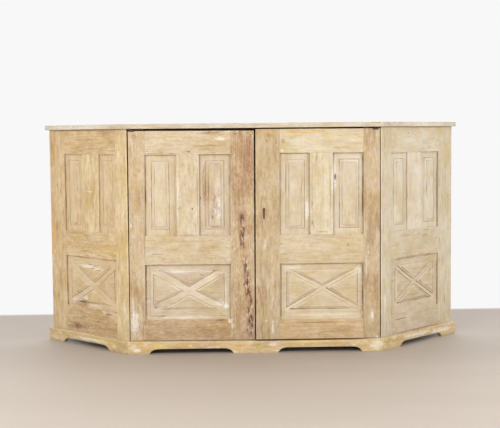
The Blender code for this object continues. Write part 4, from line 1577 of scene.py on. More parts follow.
RIGHT_DOOR_MARKS = (
    *laid(ORANGE_WASH, (205, 914, 125, 11, 0.9), (55, 914, 50, 9, 0.5)),
    Mark(BROWN_STAIN, 119, 876, 10, 16, 0.6),
    Mark(WHITE_PATCH, 115, 837, 8, 7, 0.6),
    *laid(KNOT, (90, 868, 4, 5, 0.6), (52, 875, 4, 6, 0.6)),
    Mark(RUST, 35, 582, 4.5, 28, 0.5),
    *laid(BROWN_STAIN, (36, 640, 22, 18, 0.35), (46, 578, 12, 26, 0.4)),
    Mark(WHITE_PAINT, 43, 455, 10, 30, 0.5),
    *laid(WHITE_PATCH, (71, 104, 7, 36, 0.5), (44, 132, 6, 6, 0.6)),
    Mark(KNOT, 237, 537, 3, 14, 0.9),
    Mark(WHITE_PATCH, 322, 712, 7, 62, 0.8),
    *laid(LINE, (238, 672, 2.2, 170, 0.7), (312, 660, 2.2, 175, 0.8)),
    Mark(BROWN_STAIN, 281, 500, 30, 5, 0.6),
    Mark(KNOT, 229, 495, 4, 6, 0.7),
    *laid(HOLE, (386, 445, 4, 4, 0.8), (108, 451, 4, 4, 0.7)),
    Mark(BROWN_STAIN, 392, 488, 10, 8, 0.5),
    Mark(RED_STAIN, 500, 240, 16, 140, 0.75),
    Mark(WHITE_PATCH, 486, 150, 9, 32, 0.7),
    *laid(WHITE_PAINT, (462, 355, 7, 60, 0.5), (476, 238, 6, 6, 0.8), (470, 411, 5, 14, 0.6)),
    Mark(LINE, 270, 123, 170, 3.5, 0.9),
    Mark(ORANGE_WASH, 300, 131, 160, 7, 0.35),
    Mark(LINE, 452, 105, 3, 60, 0.8),
    Mark(BROWN_STAIN, 60, 900, 40, 14, 0.4),
)
RIGHT_PANEL_MARKS = (
    *laid(WHITE_PATCH, (218, 590, 11, 58, 0.9), (331, 730, 8, 84, 0.8)),
    *laid(RUST, (334, 726, 6, 18, 0.9), (397, 522, 25, 2.2, 0.75)),
    Mark(WHITE_PATCH, 428, 337, 18, 20, 0.5),
    Mark(GREY_WASH, 383, 795, 44, 12, 0.7),
    Mark(WHITE_PAINT, 281, 154, 160, 10, 0.5),
    Mark(WHITE_PATCH, 446, 160, 6, 9, 0.8),
    Mark(WHITE_PAINT, 150, 350, 50, 9, 0.6),
    Mark(GREY_WASH, 162, 527, 40, 10, 0.7),
)
LEFT_SIDE_MARKS = (
    Mark(RED_STAIN, -758, 82, 62, 24, 0.6),
    Mark(KNOT, -767, 80, 27, 19, 0.5),
    Mark(RUST, -769, 79, 9, 10, 0.75),
    Mark(BROWN_STAIN, -742, 180, 44, 22, 0.75),
    Mark(WHITE_PAINT, -680, 172, 44, 9, 0.7),
    Mark(ORANGE_WASH, -882, 480, 16, 130, 0.6),
    Mark(LINE, -678, 80, 34, 3.5, 0.7),
    Mark(BROWN_STAIN, -745, 78, 50, 10, 0.6),
    Mark(DARK_STREAK, -618, 152, 18, 7, 0.9),
    Mark(WHITE_PAINT, -636, 156, 14, 10, 0.7),
    Mark(HOLE, -857, 688, 3, 7, 0.6),
    Mark(BROWN_STAIN, -850, 285, 10, 60, 0.5),
    *laid(WHITE_PAINT, (-697, 667, 24, 4, 0.7), (-543, 190, 8, 40, 0.7)),
    Mark(GREY_WASH, -543, 917, 16, 12, 0.6),
    Mark(YELLOW_WASH, -600, 430, 120, 50, 0.3),
    # Painted shadow: a dark line along the side's top edge, under the top's overhang.
    Mark(RUST, -715, 928, 250, 2.8, 0.6),
)
LEFT_SIDE_PANEL_MARKS = (
    Mark(BROWN_STAIN, -742, 182, 44, 22, 0.75),
    Mark(DARK_STREAK, -735, 188, 30, 9, 0.9),
    *laid(WHITE_PAINT, (-772, 195, 30, 9, 0.7), (-722, 208, 11, 15, 0.8), (-752, 218, 20, 7, 0.7)),
    *laid(RUST, (-757, 211, 12, 2.4, 0.7), (-738, 231, 10, 2.2, 0.7), (-727, 196, 12, 2.4, 0.6)),
    Mark(BROWN_STAIN, -752, 226, 26, 16, 0.5),
    Mark(WHITE_PAINT, -680, 178, 44, 9, 0.7),
    *laid(WHITE_PATCH, (-716, 346, 40, 11, 0.8), (-672, 339, 34, 9, 0.7)),
    *laid(RUST, (-700, 354, 15, 2.6, 0.8), (-689, 339, 15, 2.6, 0.8), (-662, 333, 13, 2.6, 0.7)),
)
RIGHT_SIDE_MARKS = (
    *laid(YELLOW_WASH, (703, 886, 16, 26, 0.45), (621, 855, 18, 18, 0.35), (680, 844, 16, 14, 0.35),
          (862, 826, 12, 40, 0.45), (829, 916, 40, 10, 0.45)),
    Mark(HOLE, 658, 903, 4, 4, 0.6),
    Mark(BROWN_STAIN, 690, 377, 120, 6, 0.7),
    Mark(ORANGE_WASH, 745, 378, 60, 6, 0.5),
    Mark(LINE, 700, 57, 180, 4.5, 0.8),
    *laid(BROWN_STAIN, (819, 66, 22, 9, 0.5), (747, 460, 26, 10, 0.5)),
    Mark(WHITE_PAINT, 540, 200, 8, 60, 0.7),
    Mark(BROWN_STAIN, 640, 470, 40, 8, 0.45),
    # Painted shadow: a dark line along the side's top edge, under the top's overhang.
    Mark(RUST, 715, 928, 250, 2.8, 0.5),
)
RIGHT_SIDE_PANEL_MARKS = (
    Mark(WHITE_PAINT, 788, 295, 12, 20, 0.6),
    Mark(GREY_WASH, 610, 510, 40, 14, 0.6),
    *laid(LINE, (811, 650, 4.5, 190, 0.9), (812, 255, 3, 120, 0.8)),
)
PLINTH_MARKS = (
    Mark(YELLOW_WASH, -402, 30, 60, 18, 0.8),
    *laid(ORANGE_WASH, (-470, 30, 34, 18, 0.6), (-305, 44, 40, 8, 0.6), (-70, 28, 50, 18, 0.7),
          (330, 46, 60, 7, 0.5)),
    *laid(WHITE_PAINT, (-492, 16, 24, 12, 0.8), (71, 34, 26, 14, 0.7)),
    Mark(YELLOW_WASH, 207, 44, 90, 8, 0.8),
    Mark(WHITE_PAINT, 505, 28, 40, 26, 0.8),
    Mark(ORANGE_WASH, 760, 48, 150, 6, 0.6),
    Mark(YELLOW_WASH, -640, 34, 60, 14, 0.7),
    *laid(WHITE_PATCH, (673, 38, 56, 11, 0.6), (730, 38, 56, 11, 0.6), (815, 31, 42, 15, 0.7),
          (858, 30, 30, 15, 0.7), (-700, 34, 84, 7, 0.7)),
    Mark(BROWN_STAIN, 700, 53, 200, 4, 0.7),
)
TOP_MARKS = laid(WHITE_PAINT, (-735, 940, 190, 14, 0.7), (735, 940, 190, 14, 0.6))

LEFT_DOOR_WOOD = PineFinish("left_door_pine", flecks=0.75, grime=0.45, marks=LEFT_DOOR_MARKS,
                            shakes=LEFT_DOOR_SHAKES)
LEFT_PANEL_WOOD = PineFinish("left_door_panel_pine", contrast=0.5, knocks=0.45, marks=LEFT_PANEL_MARKS,
                             shakes=LEFT_PANEL_SHAKES)
RIGHT_DOOR_WOOD = PineFinish("right_door_pine", flecks=0.45, grime=0.35, marks=RIGHT_DOOR_MARKS)
RIGHT_PANEL_WOOD = PineFinish("right_door_panel_pine", contrast=0.5, marks=RIGHT_PANEL_MARKS)
LEFT_SIDE_WOOD = PineFinish("left_side_pine", paint=0.5, contrast=1.1, flecks=0.6, grime=0.4, wall_soil=0.4,
                            marks=LEFT_SIDE_MARKS)
LEFT_SIDE_PANEL_WOOD = PineFinish("left_side_panel_pine", contrast=0.6, marks=LEFT_SIDE_PANEL_MARKS)
RIGHT_SIDE_WOOD = PineFinish("right_side_pine", contrast=0.55, flecks=0.3, grime=0.3, wall_soil=0.4,
                             marks=RIGHT_SIDE_MARKS)
RIGHT_SIDE_PANEL_WOOD = PineFinish("right_side_panel_pine", contrast=0.5, flecks=0.3,
                                   marks=RIGHT_SIDE_PANEL_MARKS)
PLINTH_WOOD = PineFinish("plinth_pine", paint_cover=0.75, flecks=0.6, grime=0.3, wall_soil=0.3,
                         marks=PLINTH_MARKS, grime_top=0.02)
TOP_WOOD = PineFinish("top_pine", paint=0.5, paint_cover=0.5, wall_soil=0.0, marks=TOP_MARKS)
RUSTY_IRON = IronFinish("rusty_iron", rust=1.0)
BRIGHT_IRON = IronFinish("bright_iron", bright=0.9)
BARE = {"paint": 0.0, "paint_cover": 0.0, "wall_soil": 0.1}
INSIDE_WOOD = PineFinish("inside_pine", contrast=1.0, **BARE)
# The batten's even dark finish: a painted shadow in the gap over the doors.
GAP_SHADOW_WOOD = PineFinish("sooty_pine", contrast=0.4, flecks=0.0, **BARE)
# The floor board's front edge is painted near black: a painted shadow in the gap under the doors.
FLOOR_WOOD = PineFinish("floor_pine", contrast=1.0, **BARE, marks=laid(
    HOLE, (0, 44, 1500, 9, 0.95), (90, 49.9, 160, 3.8, 0.95), (290, 49.9, 240, 3.8, 0.9)))
DOOR_WOODS = {Hand.LEFT: (LEFT_DOOR_WOOD, LEFT_PANEL_WOOD), Hand.RIGHT: (RIGHT_DOOR_WOOD, RIGHT_PANEL_WOOD)}
SIDE_WOODS = {Hand.LEFT: (LEFT_SIDE_WOOD, LEFT_SIDE_PANEL_WOOD),
              Hand.RIGHT: (RIGHT_SIDE_WOOD, RIGHT_SIDE_PANEL_WOOD)}

DOOR_TONES = {
    Hand.LEFT: {"hinge_stile": Tone.WHEAT, "meeting_stile": Tone.RUSSET, "top_rail": Tone.STRAW,
                "lock_rail": Tone.STRAW, "bottom_rail": Tone.TAN, "muntin": Tone.STRAW,
                "outer_panel": Tone.STRAW, "inner_panel": Tone.MEAL, "cross_panel": Tone.MEAL},
    Hand.RIGHT: {"hinge_stile": Tone.SAND, "meeting_stile": Tone.SAND, "top_rail": Tone.CREAM,
                 "lock_rail": Tone.STRAW, "bottom_rail": Tone.DUN, "muntin": Tone.CREAM,
                 "outer_panel": Tone.LINEN, "inner_panel": Tone.LINEN, "cross_panel": Tone.STRAW},
}
SIDE_TONES = {
    Hand.LEFT: {"front_stile": Tone.BRASS, "back_stile": Tone.MAIZE, "top_rail": Tone.MAIZE,
                "middle_rail": Tone.MAIZE, "bottom_rail": Tone.FAWN, "muntin": Tone.BRASS,
                "front_panel": Tone.OCHRE, "back_panel": Tone.OCHRE, "cross_panel": Tone.OCHRE},
    Hand.RIGHT: {"front_stile": Tone.FLAX, "back_stile": Tone.FLAX, "top_rail": Tone.ASH,
                 "middle_rail": Tone.FLAX, "bottom_rail": Tone.DRIFT, "muntin": Tone.CHALK,
                 "front_panel": Tone.ASH, "back_panel": Tone.ASH, "cross_panel": Tone.DRIFT},
}
# Dark along the edges of each opening: painted shade where the frame's walls fall, with dirt; negative values
# are pale paint.
RIMS = {
    "left_door": {"outer_panel": Rim(0.2, -0.6, 0.2, 0.9), "inner_panel": Rim(0.35, 0.25, 0.15, 0.05),
                  "cross_panel": Rim(-0.3, 0.35, 0.2, 0.9)},
    "right_door": {"inner_panel": Rim(0.0, 0.1, 0.2, 0.4), "outer_panel": Rim(0.0, 0.9, 0.15, 0.2),
                   "cross_panel": Rim(-0.3, 0.8, 0.25, 0.4)},
    "left_side": {"front_panel": Rim(0.0, 0.3, 0.3, 0.3), "back_panel": Rim(0.0, 1.0, 0.3, 0.2),
                  "cross_panel": Rim(0.0, 0.9, 0.5, 0.4)},
    "right_side": {"front_panel": Rim(0.1, 0.4, 0.4, 0.3), "back_panel": Rim(0.2, 1.0, 0.3, 0.2),
                   "cross_panel": Rim(0.0, 1.0, 0.8, 0.3)},
}
FIELD_MARGINS = {
    Hand.LEFT: {"outer_panel": (0.025, 0.025, 0.028, 0.025)},
    Hand.RIGHT: {"inner_panel": (0.025, 0.025, 0.022, 0.025), "outer_panel": (0.025, 0.025, 0.017, 0.025)},
}
TRUE = (0.0, 0.0)
CROOKED = {
    "left_door": Crooked(((-3.0, 0.6), (-10.5, -1.5), TRUE, (-6.0, -1.0), (-2.5, 3.0), (-1.4, 2.2)),
                         ((-1.2, -2.4), (-8.5, -8.5), (1.0, 0.0), (-4.5, -5.5), (0.0, -1.4), (-1.3, -4.4))),
    "right_door": Crooked(((-1.4, 4.0), (1.5, 6.0), (4.5, 5.0), (3.9, 3.7), (2.5, 5.5), (1.4, 3.0)),
                          ((-4.0, -4.0), (-14.0, -14.0), (-1.8, 0.0), (-7.0, -5.0), (1.8, 0.7), (0.4, -1.2))),
    "left_side": Crooked(((2.0, 0.0), (5.0, 3.0), (-7.0, -17.0), (-2.0, -2.0), TRUE, TRUE),
                         (TRUE, (24.0, 13.0), (15.0, 14.0), (4.5, -3.0), (1.5, 0.0), TRUE)),
    "right_side": Crooked(((2.0, 2.0), TRUE, (-12.0, -9.5), (-3.0, -3.0), (1.0, 2.0), TRUE),
                          (TRUE, (-9.0, -4.5), (4.0, 4.6), (-0.7, -3.6), (-3.5, -2.5), TRUE)),
}
# The dirt weights darken the triangles' bevels and grooves: painted shade on the sides turned from the light,
# with dirt.
CROSSES = {
    "left_door": CrossLook(
        left=0.030, right=0.026, band=0.025, beads=(0.0165,), low_bead=0.011, drop=0.004,
        dirt=((0.4, 0.1, 0.1), (0.1, 0.1, 0.2), (0.2, 0.35, 0.4), (0.3, 0.4, 0.1)),
        lime=((0.8, 1.0, 1.0), (1.0, 1.0, 1.0), (0.9, 1.0, 1.0), (0.9, 1.0, 1.0))),
    "right_door": CrossLook(
        left=0.027, right=0.022, band=0.012, beads=(0.007, 0.016), drop=-0.004,
        dirt=((1.0, 0.1, 0.1), (0.0, 0.15, 0.8), (0.0, 0.75, 0.45), (0.5, 0.7, 0.15))),
    "left_side": CrossLook(
        right=0.028, top=0.032, low=0.018, band=0.022, drop=0.007,
        dirt=((0.7, 0.4, 0.2), (0.1, 0.6, 0.35), (0.1, 0.5, 0.7), (1.0, 0.25, 0.15))),
    "right_side": CrossLook(
        left=0.034, right=0.031, top=0.027,
        dirt=((0.8, 1.0, 0.3), (0.1, 0.1, 1.0), (0.1, 1.0, 0.2), (0.0, 0.2, 1.0)),
        lime=((0.3, 0.5, 0.5), (0.3, 0.6, 0.5), (0.4, 0.5, 0.5), (0.9, 0.5, 0.6))),
}
SIDE_RAISED = 0.004
SIDE_LINE_DIRT_AND_SHADE = {Hand.LEFT: 0.25, Hand.RIGHT: 1.3}


def door(hand: Hand) -> FramedPanels:
    """One door of the front."""
    name = f"{hand.label}_door"
    return FramedPanels(name, FRONT_UPRIGHT, ("hinge_stile", "meeting_stile"), "lock_rail",
                        ("outer_panel", "inner_panel"), *DOOR_WOODS[hand], DOOR_TONES[hand], RIMS[name],
                        CROOKED[name], CROSSES[name], margins=FIELD_MARGINS[hand],
                        slit=Slit() if hand is Hand.RIGHT else None)


def canted_side(hand: Hand) -> FramedPanels:
    """One canted side of the carcass."""
    name = f"{hand.label}_side"
    return FramedPanels(name, side_axes(hand), ("front_stile", "back_stile"), "middle_rail",
                        ("front_panel", "back_panel"), *SIDE_WOODS[hand], SIDE_TONES[hand], RIMS[name],
                        CROOKED[name], CROSSES[name], raised=SIDE_RAISED, line_dirt=SIDE_LINE_DIRT_AND_SHADE[hand])


@dataclass
class Top:
    """The thin overhanging top, of two planks."""

    edge: float = 0.0016
    wear: float = 1.4

    def build(self) -> None:
        """Build and dress both planks."""
        for label in ("front", "back"):
            Board(f"top_{label}_plank", FLAT_LEVEL, Tone.BISQUE, TOP_WOOD, "board_pine", edge=self.edge,
                  wear=self.wear).build()


@dataclass
class Plinth:
    """The arched base in three mitred boards."""

    edge: float = 0.0010
    wear: float = 1.8
    most: float = 1.7
    arch_sag: float = 0.0047
    ARCH_ZONE = (0.014, 0.030)
    TOP_ZONE = (0.034, 0.046)
    DIP = ((-0.51, -0.44, -0.15, -0.01, 0.01, 0.42, 0.51),
           (0.0, 0.0012, 0.0030, 0.0040, 0.0062, 0.0054, 0.0))

    def build(self) -> None:
        """Build and dress the three boards."""
        runs = {"front": FRONT_LEVEL, **{hand.label: side_axes(hand).turned() for hand in Hand}}
        for label, axes in runs.items():
            Board(f"plinth_{label}", axes, Tone.HONEY, PLINTH_WOOD, "board_pine",
                  edge=self.edge, wear=self.wear, most=self.most, cuts=self.DIP[0], bend=self.sag).build()

    def sag(self, points: np.ndarray) -> np.ndarray:
        """Lower the arches, and the front's upper edge, more so under the right door.

        Args:
            points: points in the cabinet's frame, one a row.

        Returns:
            The moved points.
        """
        moved = points.copy()
        dip = np.interp(points[:, 0], *self.DIP)
        moved[:, 2] -= self.arch_sag * np.interp(points[:, 2], self.ARCH_ZONE, (0.0, 1.0))
        moved[:, 2] -= (dip - self.arch_sag) * np.interp(points[:, 2], self.TOP_ZONE, (0.0, 1.0))
        return moved


@dataclass
class Interior:
    """Floor, shelf, cleats, back boards and the batten that the doors close against."""

    edge: float = 0.0008
    floor_edge: float = 0.0003
    most: float = 1.2
    WOODS = {"floor_board": FLOOR_WOOD, "stop_batten": GAP_SHADOW_WOOD}

    def build(self) -> None:
        """Build and dress the boards inside."""
        runs = {"floor_board": FLAT_LEVEL, "shelf_board": FLAT_LEVEL, "back_lower_board": BACK_LEVEL,
                "back_upper_board": BACK_LEVEL, "stop_batten": FRONT_LEVEL}
        for hand in Hand:
            runs[f"{hand.label}_shelf_cleat"] = side_axes(hand).turned()
        for node, axes in runs.items():
            edge = self.floor_edge if node == "floor_board" else self.edge
            # The stop batten is painted near black: a painted shadow in the gap over the doors.
            tone = Tone.SMOKE if node == "stop_batten" else Tone.AGED
            wood = self.WOODS.get(node, INSIDE_WOOD)
            Board(node, axes, tone, wood, "inside_pine", edge=edge, most=self.most).build()


@dataclass
class Ironwork:
    """Pivots and their sockets, the box lock and the rod bolt, with the nails and screws that hold them."""

    edge: float = 0.0005
    screw: float = 0.0032
    nail: float = 0.0028
    screw_inset: float = 0.006
    nail_step: float = 0.24
    nail_end: float = 0.03
    nail_edge: float = 0.018
    top_leaf: tuple[float, float, Point] = (0.500, 0.9215, (0.012, 0.0036))
    bottom_leaf: tuple[float, float, Point] = (0.505, 0.0590, (0.0055, 0.0036))
    liner_half: float = 0.0031
    liner_play: float = 0.001
    LEAF_CUT, LEAF_RINGS = 0.4, ((0.0, 0.0012), (0.0, -0.0002), (0.0005, -0.0006))
    LINER_TURNS = 6
    LINER_RINGS = ((0.0, 0.008), (0.0, 0.0010), (0.0004, 0.0006), (0.0022, 0.0012), (0.0023, 0.008),
                   (0.0, 0.008))
    SHARP, FLAT_ANGLE, EASED_ANGLE = radians(40), radians(1), radians(50)
    DOME, SUNK, LEVEL = 0.45, 0.0004, -1e-5

    def build(self) -> None:
        """Dress the iron solids and add their fastenings."""
        nodes = [f"{hand.label}_{end}_{part}" for hand in Hand for end in ("top", "bottom")
                 for part in ("pivot", "socket")]
        for node in (*nodes, "lock_case", "lock_bolt", "bolt_plate", "bolt_rod"):
            self.dress(node)
        case_low, case_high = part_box("lock_case")
        self.fasten("lock_screws", "right_door", BACKWARD, self.screw, [
            (x, case_high.y, z) for x in (case_low.x + self.screw_inset, case_high.x - self.screw_inset)
            for z in (case_low.z + self.screw_inset, case_high.z - self.screw_inset)])
        self.back_nails()
        for hand in Hand:
            self.leaf(f"{hand.label}_top_leaf", hand, *self.top_leaf)
        self.leaf("right_bottom_leaf", Hand.RIGHT, *self.bottom_leaf, BRIGHT_IRON)

    def leaf(self, name: str, hand: Hand, away: float, up: float, half: Point,
             finish: IronFinish = IronFinish()) -> bpy.types.Object:
        """Let the flat end of a pivot into the door's face.

        Args:
            name: the new piece's name.
            hand: which door it is on.
            away: its middle's distance from the cabinet's middle.
            up: its middle's height.
            half: half its width and height.
            finish: of the iron.

        Returns:
            The leaf.
        """
        x, face, (wide, tall) = away * hand.value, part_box(f"{hand.label}_door_hinge_stile")[0].y, half
        cut = min(half) * self.LEAF_CUT
        outline = [(x - wide + cut, up - tall), (x + wide - cut, up - tall), (x + wide, up - tall + cut),
                   (x + wide, up + tall - cut), (x + wide - cut, up + tall), (x - wide + cut, up + tall),
                   (x - wide, up + tall - cut), (x - wide, up - tall + cut)]
        return self.forged(name, f"{hand.label}_door", [
            [(corner[0], face + back, corner[1]) for corner in inset(outline, within)]
            for within, back in self.LEAF_RINGS], finish)

    def forged(self, name: str, body: str, rings: Sequence[Sequence[Sequence[float]]],
               finish: IronFinish, capped: bool = True) -> bpy.types.Object:
        """Join rings of points into a piece of iron.

        Args:
            name: the new piece's name.
            body: the body that it rides on.
            rings: rings of equal count, in order.
            finish: of the iron.
            capped: whether the first and last ring are closed.

        Returns:
            The new object.
        """
        bm = bmesh.new()
        made = [[bm.verts.new(point) for point in ring] for ring in rings]
        for outer, inner in zip(made, made[1:]):
            for i, corner in enumerate(outer):
                bm.faces.new((outer[i - 1], corner, inner[i], inner[i - 1]))
        for ring in (made[0], made[-1]) if capped else ():
            bm.faces.new(ring)
        bmesh.ops.recalc_face_normals(bm, faces=bm.faces)
        return self.finished(name, body, bm, finish)

    def liner(self, slit: Slit, bend: Callable[[np.ndarray], np.ndarray]) -> bpy.types.Object:
        """Line the keyhole with a bent strip of iron.

        Args:
            slit: the keyhole.
            bend: how the door's frame is crooked.

        Returns:
            The liner.
        """
        face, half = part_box("right_door_meeting_stile")[0].y, self.liner_half
        ends = ((slit.low + self.liner_play + half, pi), (slit.high - self.liner_play - half, 0.0))
        turns = [(up, start + pi * i / self.LINER_TURNS)
                 for up, start in ends for i in range(self.LINER_TURNS + 1)]
        outline = [(slit.x + half * cos(turn), up + half * sin(turn)) for up, turn in turns]
        return self.forged("keyhole_liner", "right_door", [
            bend(np.array([(corner[0], face + back, corner[1]) for corner in inset(outline, away)]))
            for away, back in self.LINER_RINGS], RUSTY_IRON, capped=False)

    def dress(self, node: str) -> None:
        """Ease a solid's edges and give it the iron finish.

        Args:
            node: the solid's node.
        """
        solid = frame["nodes"][node]
        solid.data.materials.clear()
        solid.data.materials.append(IronFinish().material())
        weld = solid.modifiers.new("weld", "WELD")
        weld.merge_threshold = WELD
        flat = solid.modifiers.new("merge_flat_faces", "DECIMATE")
        flat.decimate_type = "DISSOLVE"
        flat.angle_limit = self.FLAT_ANGLE
        ease = solid.modifiers.new("eased_edges", "BEVEL")
        ease.width = self.edge
        ease.segments = 2
        ease.limit_method = "ANGLE"
        ease.angle_limit = self.EASED_ANGLE
        LOG.info("kept %s", node)

    def back_nails(self) -> None:
        """Nail the back boards along their upper and lower edges."""
        places = []
        for node in ("back_lower_board", "back_upper_board"):
            low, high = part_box(node)
            count = round((high.x - low.x) / self.nail_step)
            for i in range(count + 1):
                x = low.x + self.nail_end + (high.x - low.x - 2 * self.nail_end) * i / count
                places += [(x, high.y, z) for z in (low.z + self.nail_edge, high.z - self.nail_edge)]
        self.fasten("back_nails", "carcass", BACKWARD, self.nail, places)

    def fasten(self, name: str, body: str, outward: Vector, radius: float,
               places: Iterable[Sequence[float]]) -> bpy.types.Object:
        """Set domed heads on a face.

        Args:
            name: the new piece's name.
            body: the body that they ride on.
            outward: out of the face.
            radius: of each head.
            places: where they sit on the face.

        Returns:
            One object with all the heads.
        """
        bm = bmesh.new()
        turn = outward.to_track_quat("Z", "Y").to_matrix().to_4x4()
        dome = Matrix.Diagonal((1, 1, self.DOME, 1))
        for place in places:
            head = bmesh.ops.create_uvsphere(bm, u_segments=12, v_segments=6, radius=radius,
                                             matrix=Matrix.Translation(place) @ turn @ dome)
            under = [corner for corner in head["verts"]
                     if (corner.co - Vector(place)).dot(outward) < self.LEVEL]
            for corner in under:
                corner.co -= outward * ((corner.co - Vector(place)).dot(outward) + self.SUNK)
        return self.finished(name, body, bm, IronFinish())

    def finished(self, name: str, body: str, bm: Shape, finish: IronFinish) -> bpy.types.Object:
        """Turn a bmesh into a piece of iron on a body.

        Args:
            name: the new piece's name.
            body: the body that it rides on.
            bm: the shape, in the cabinet's frame; it is freed.
            finish: of the iron.

        Returns:
            The new object.
        """
        mesh = bpy.data.meshes.new(name)
        bm.to_mesh(mesh)
        bm.free()
        mesh.shade_smooth()
        mesh.set_sharp_from_angle(angle=self.SHARP)
        mesh.materials.append(finish.material())
        made = bpy.data.objects.new(name, mesh)
        bpy.context.scene.collection.objects.link(made)
        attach(made, body)
        LOG.info("piece %s", name)
        return made


@dataclass(frozen=True)
class Lamp:
    """A soft square light that looks at the cabinet's middle."""

    name: str
    place: Place
    size: float
    power: float
    aim: Place = (0.0, 0.0, 0.5)

    def build(self) -> None:
        """Add the lamp."""
        light = bpy.data.lights.new(self.name, "AREA")
        light.size = self.size
        light.energy = self.power
        lamp = bpy.data.objects.new(self.name, light)
        lamp.location = self.place
        lamp.rotation_euler = (Vector(self.aim) - Vector(self.place)).to_track_quat("-Z", "Y").to_euler()
        bpy.context.scene.collection.objects.link(lamp)


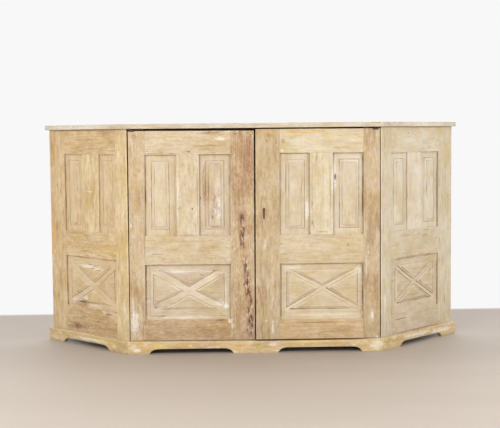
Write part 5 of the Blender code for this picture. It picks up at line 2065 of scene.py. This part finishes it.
@dataclass
class Studio:
    """A pale floor with painted shade near and under the cabinet, soft light and the camera at the
    photograph's angle.
    """

    floor_colour: Colour = linear(200, 187, 174)
    backdrop: Colour = linear(248, 248, 248)
    sky: float = 0.45
    wall_light: float = 2.7
    floor_near: float = 0.955
    floor_fall: float = 0.80
    # How dark the floor is painted under the cabinet, as its shadow.
    dust: float = 0.45
    floor_rough: float = 0.6
    floor_end: float = 0.82
    floor_blend: float = 0.06
    floor_half: float = 7.0
    camera_place: Place = (-0.1317, -4.6005, 0.9041)
    yaw: float = 0.0255
    pitch: float = 0.0739
    roll: float = 0.0097
    focal_pixels: float = 1078.3
    image_width: float = 500.0
    sensor: float = 36.0
    lamps: tuple[Lamp, ...] = (
        Lamp("key", (-2.6, -4.4, 2.6), 2.6, 148.0),
        Lamp("fill", (3.4, -3.4, 2.0), 2.6, 92.0),
    )
    FALL_ZONE = (-0.65, -0.05)
    CLOUD_RATE, CLOUD_DARK, CLOUD_PALE = (0.9, 5.0, 1.0), (0.94, 0.94, 0.94, 1.0), (1.05, 1.05, 1.05, 1.0)
    UNDER_SIDE, UNDER_FRONT, UNDER_BACK, UNDER_BLEND = 0.70, 0.178, 0.23, 0.04
    WALL_ZONE = (0.1, 0.95)

    def build(self) -> None:
        """Set up the floor, the light and the camera."""
        self.floor()
        self.world()
        for lamp in self.lamps:
            lamp.build()
        self.camera()
        bpy.context.scene.view_settings.view_transform = "Standard"

    def seen(self, wiring: Wiring) -> Socket:
        """Tell rays that show the background from those that light the room.

        Args:
            wiring: the tree that asks.

        Returns:
            1 for rays that show the background directly, in metal or through glass.
        """
        path = wiring.add("ShaderNodeLightPath").outputs
        direct = wiring.math("MAXIMUM", path["Is Camera Ray"], path["Is Glossy Ray"])
        return wiring.math("MAXIMUM", direct, path["Is Transmission Ray"])

    def floor(self) -> None:
        """Lay the floor, darkened with painted shade towards and under the cabinet, which goes over into the
        white backdrop behind the cabinet.
        """
        bm = bmesh.new()
        bmesh.ops.create_grid(bm, x_segments=1, y_segments=1, size=self.floor_half)
        mesh = bpy.data.meshes.new("floor")
        bm.to_mesh(mesh)
        bm.free()
        made, wiring, shader = new_material("pale_floor")
        place = wiring.add("ShaderNodeTexCoord").outputs["Object"]
        back = wiring.parts(place)[1]
        tint = wiring.mix(wiring.noise(place, self.CLOUD_RATE, 3.0), self.CLOUD_DARK, self.CLOUD_PALE)
        colour = wiring.tinted(self.floor_colour, tint)
        # Painted shade: the floor's colour darkens from the front towards the cabinet and the back, as a soft
        # contact shadow.
        fall = wiring.step(back, *self.FALL_ZONE, self.floor_near, self.floor_fall)
        colour = wiring.scaled(wiring.scaled(colour, fall), self.under(wiring, place))
        wiring.feed(shader, {"Base Color": colour, "Roughness": self.floor_rough})
        far = wiring.step(back, self.floor_end, self.floor_end + self.floor_blend)
        white = wiring.add("ShaderNodeEmission", {"Color": self.backdrop, "Strength": 1.0}).outputs[0]
        mixed = wiring.add("ShaderNodeMixShader", {0: wiring.times(far, self.seen(wiring)),
                                                   1: shader.outputs[0], 2: white})
        wiring.feed(made.node_tree.nodes["Material Output"], {"Surface": mixed.outputs[0]})
        mesh.materials.append(made)
        floor = bpy.data.objects.new("floor", mesh)
        bpy.context.scene.collection.objects.link(floor)

    def under(self, wiring: Wiring, place: Socket) -> Socket:
        """How dark the floor is painted under the cabinet: a painted shadow.

        Args:
            wiring: the floor's tree.
            place: coordinates on the floor.

        Returns:
            The share of light that it keeps.
        """
        x, y, _ = wiring.parts(place)
        beside = wiring.minus(self.UNDER_SIDE, wiring.minus(wiring.math("ABSOLUTE", x), y))
        behind = wiring.math("MINIMUM", wiring.plus(y, self.UNDER_FRONT), wiring.minus(self.UNDER_BACK, y))
        return wiring.step(wiring.math("MINIMUM", beside, behind), 0.0, self.UNDER_BLEND, 1.0, self.dust)

    def world(self) -> None:
        """Light the room softly, more from the bright wall behind, with a plain white backdrop."""
        world = bpy.data.worlds.new("studio")
        world.use_nodes = True
        bpy.context.scene.world = world
        wiring = Wiring(world.node_tree)
        behind = wiring.parts(wiring.add("ShaderNodeTexCoord").outputs["Generated"])[1]
        level = wiring.step(behind, *self.WALL_ZONE, self.sky, self.wall_light)
        lit = wiring.add("ShaderNodeCombineXYZ", {0: level, 1: level, 2: level}).outputs[0]
        colour = wiring.mix(self.seen(wiring), lit, self.backdrop)
        wiring.feed(world.node_tree.nodes["Background"], {"Color": colour})

    def camera(self) -> None:
        """Set the camera where the photograph was taken."""
        data = bpy.data.cameras.new("camera")
        data.sensor_width = self.sensor
        data.lens = self.focal_pixels / self.image_width * self.sensor
        ahead = Vector((sin(self.yaw) * cos(self.pitch), cos(self.yaw) * cos(self.pitch), -sin(self.pitch)))
        right = Vector((cos(self.yaw), -sin(self.yaw), 0.0))
        down = ahead.cross(right)
        turned = right * cos(self.roll) + down * sin(self.roll)
        dropped = down * cos(self.roll) - right * sin(self.roll)
        camera = bpy.data.objects.new("camera", data)
        turn = Matrix((turned, -dropped, -ahead)).transposed().to_4x4()
        camera.matrix_world = Matrix.Translation(self.camera_place) @ turn
        bpy.context.scene.collection.objects.link(camera)
        bpy.context.scene.camera = camera


def main() -> None:
    """Build the cabinet's looks, piece by piece."""
    logging.basicConfig(level=logging.INFO, format="%(message)s")
    doors = {hand: door(hand) for hand in Hand}
    for hand in Hand:
        canted_side(hand).build()
        doors[hand].build()
    Top().build()
    Plinth().build()
    Interior().build()
    iron = Ironwork()
    iron.build()
    iron.liner(Slit(), doors[Hand.RIGHT].bend)
    Studio().build()


if __name__ == "__main__":
    main()
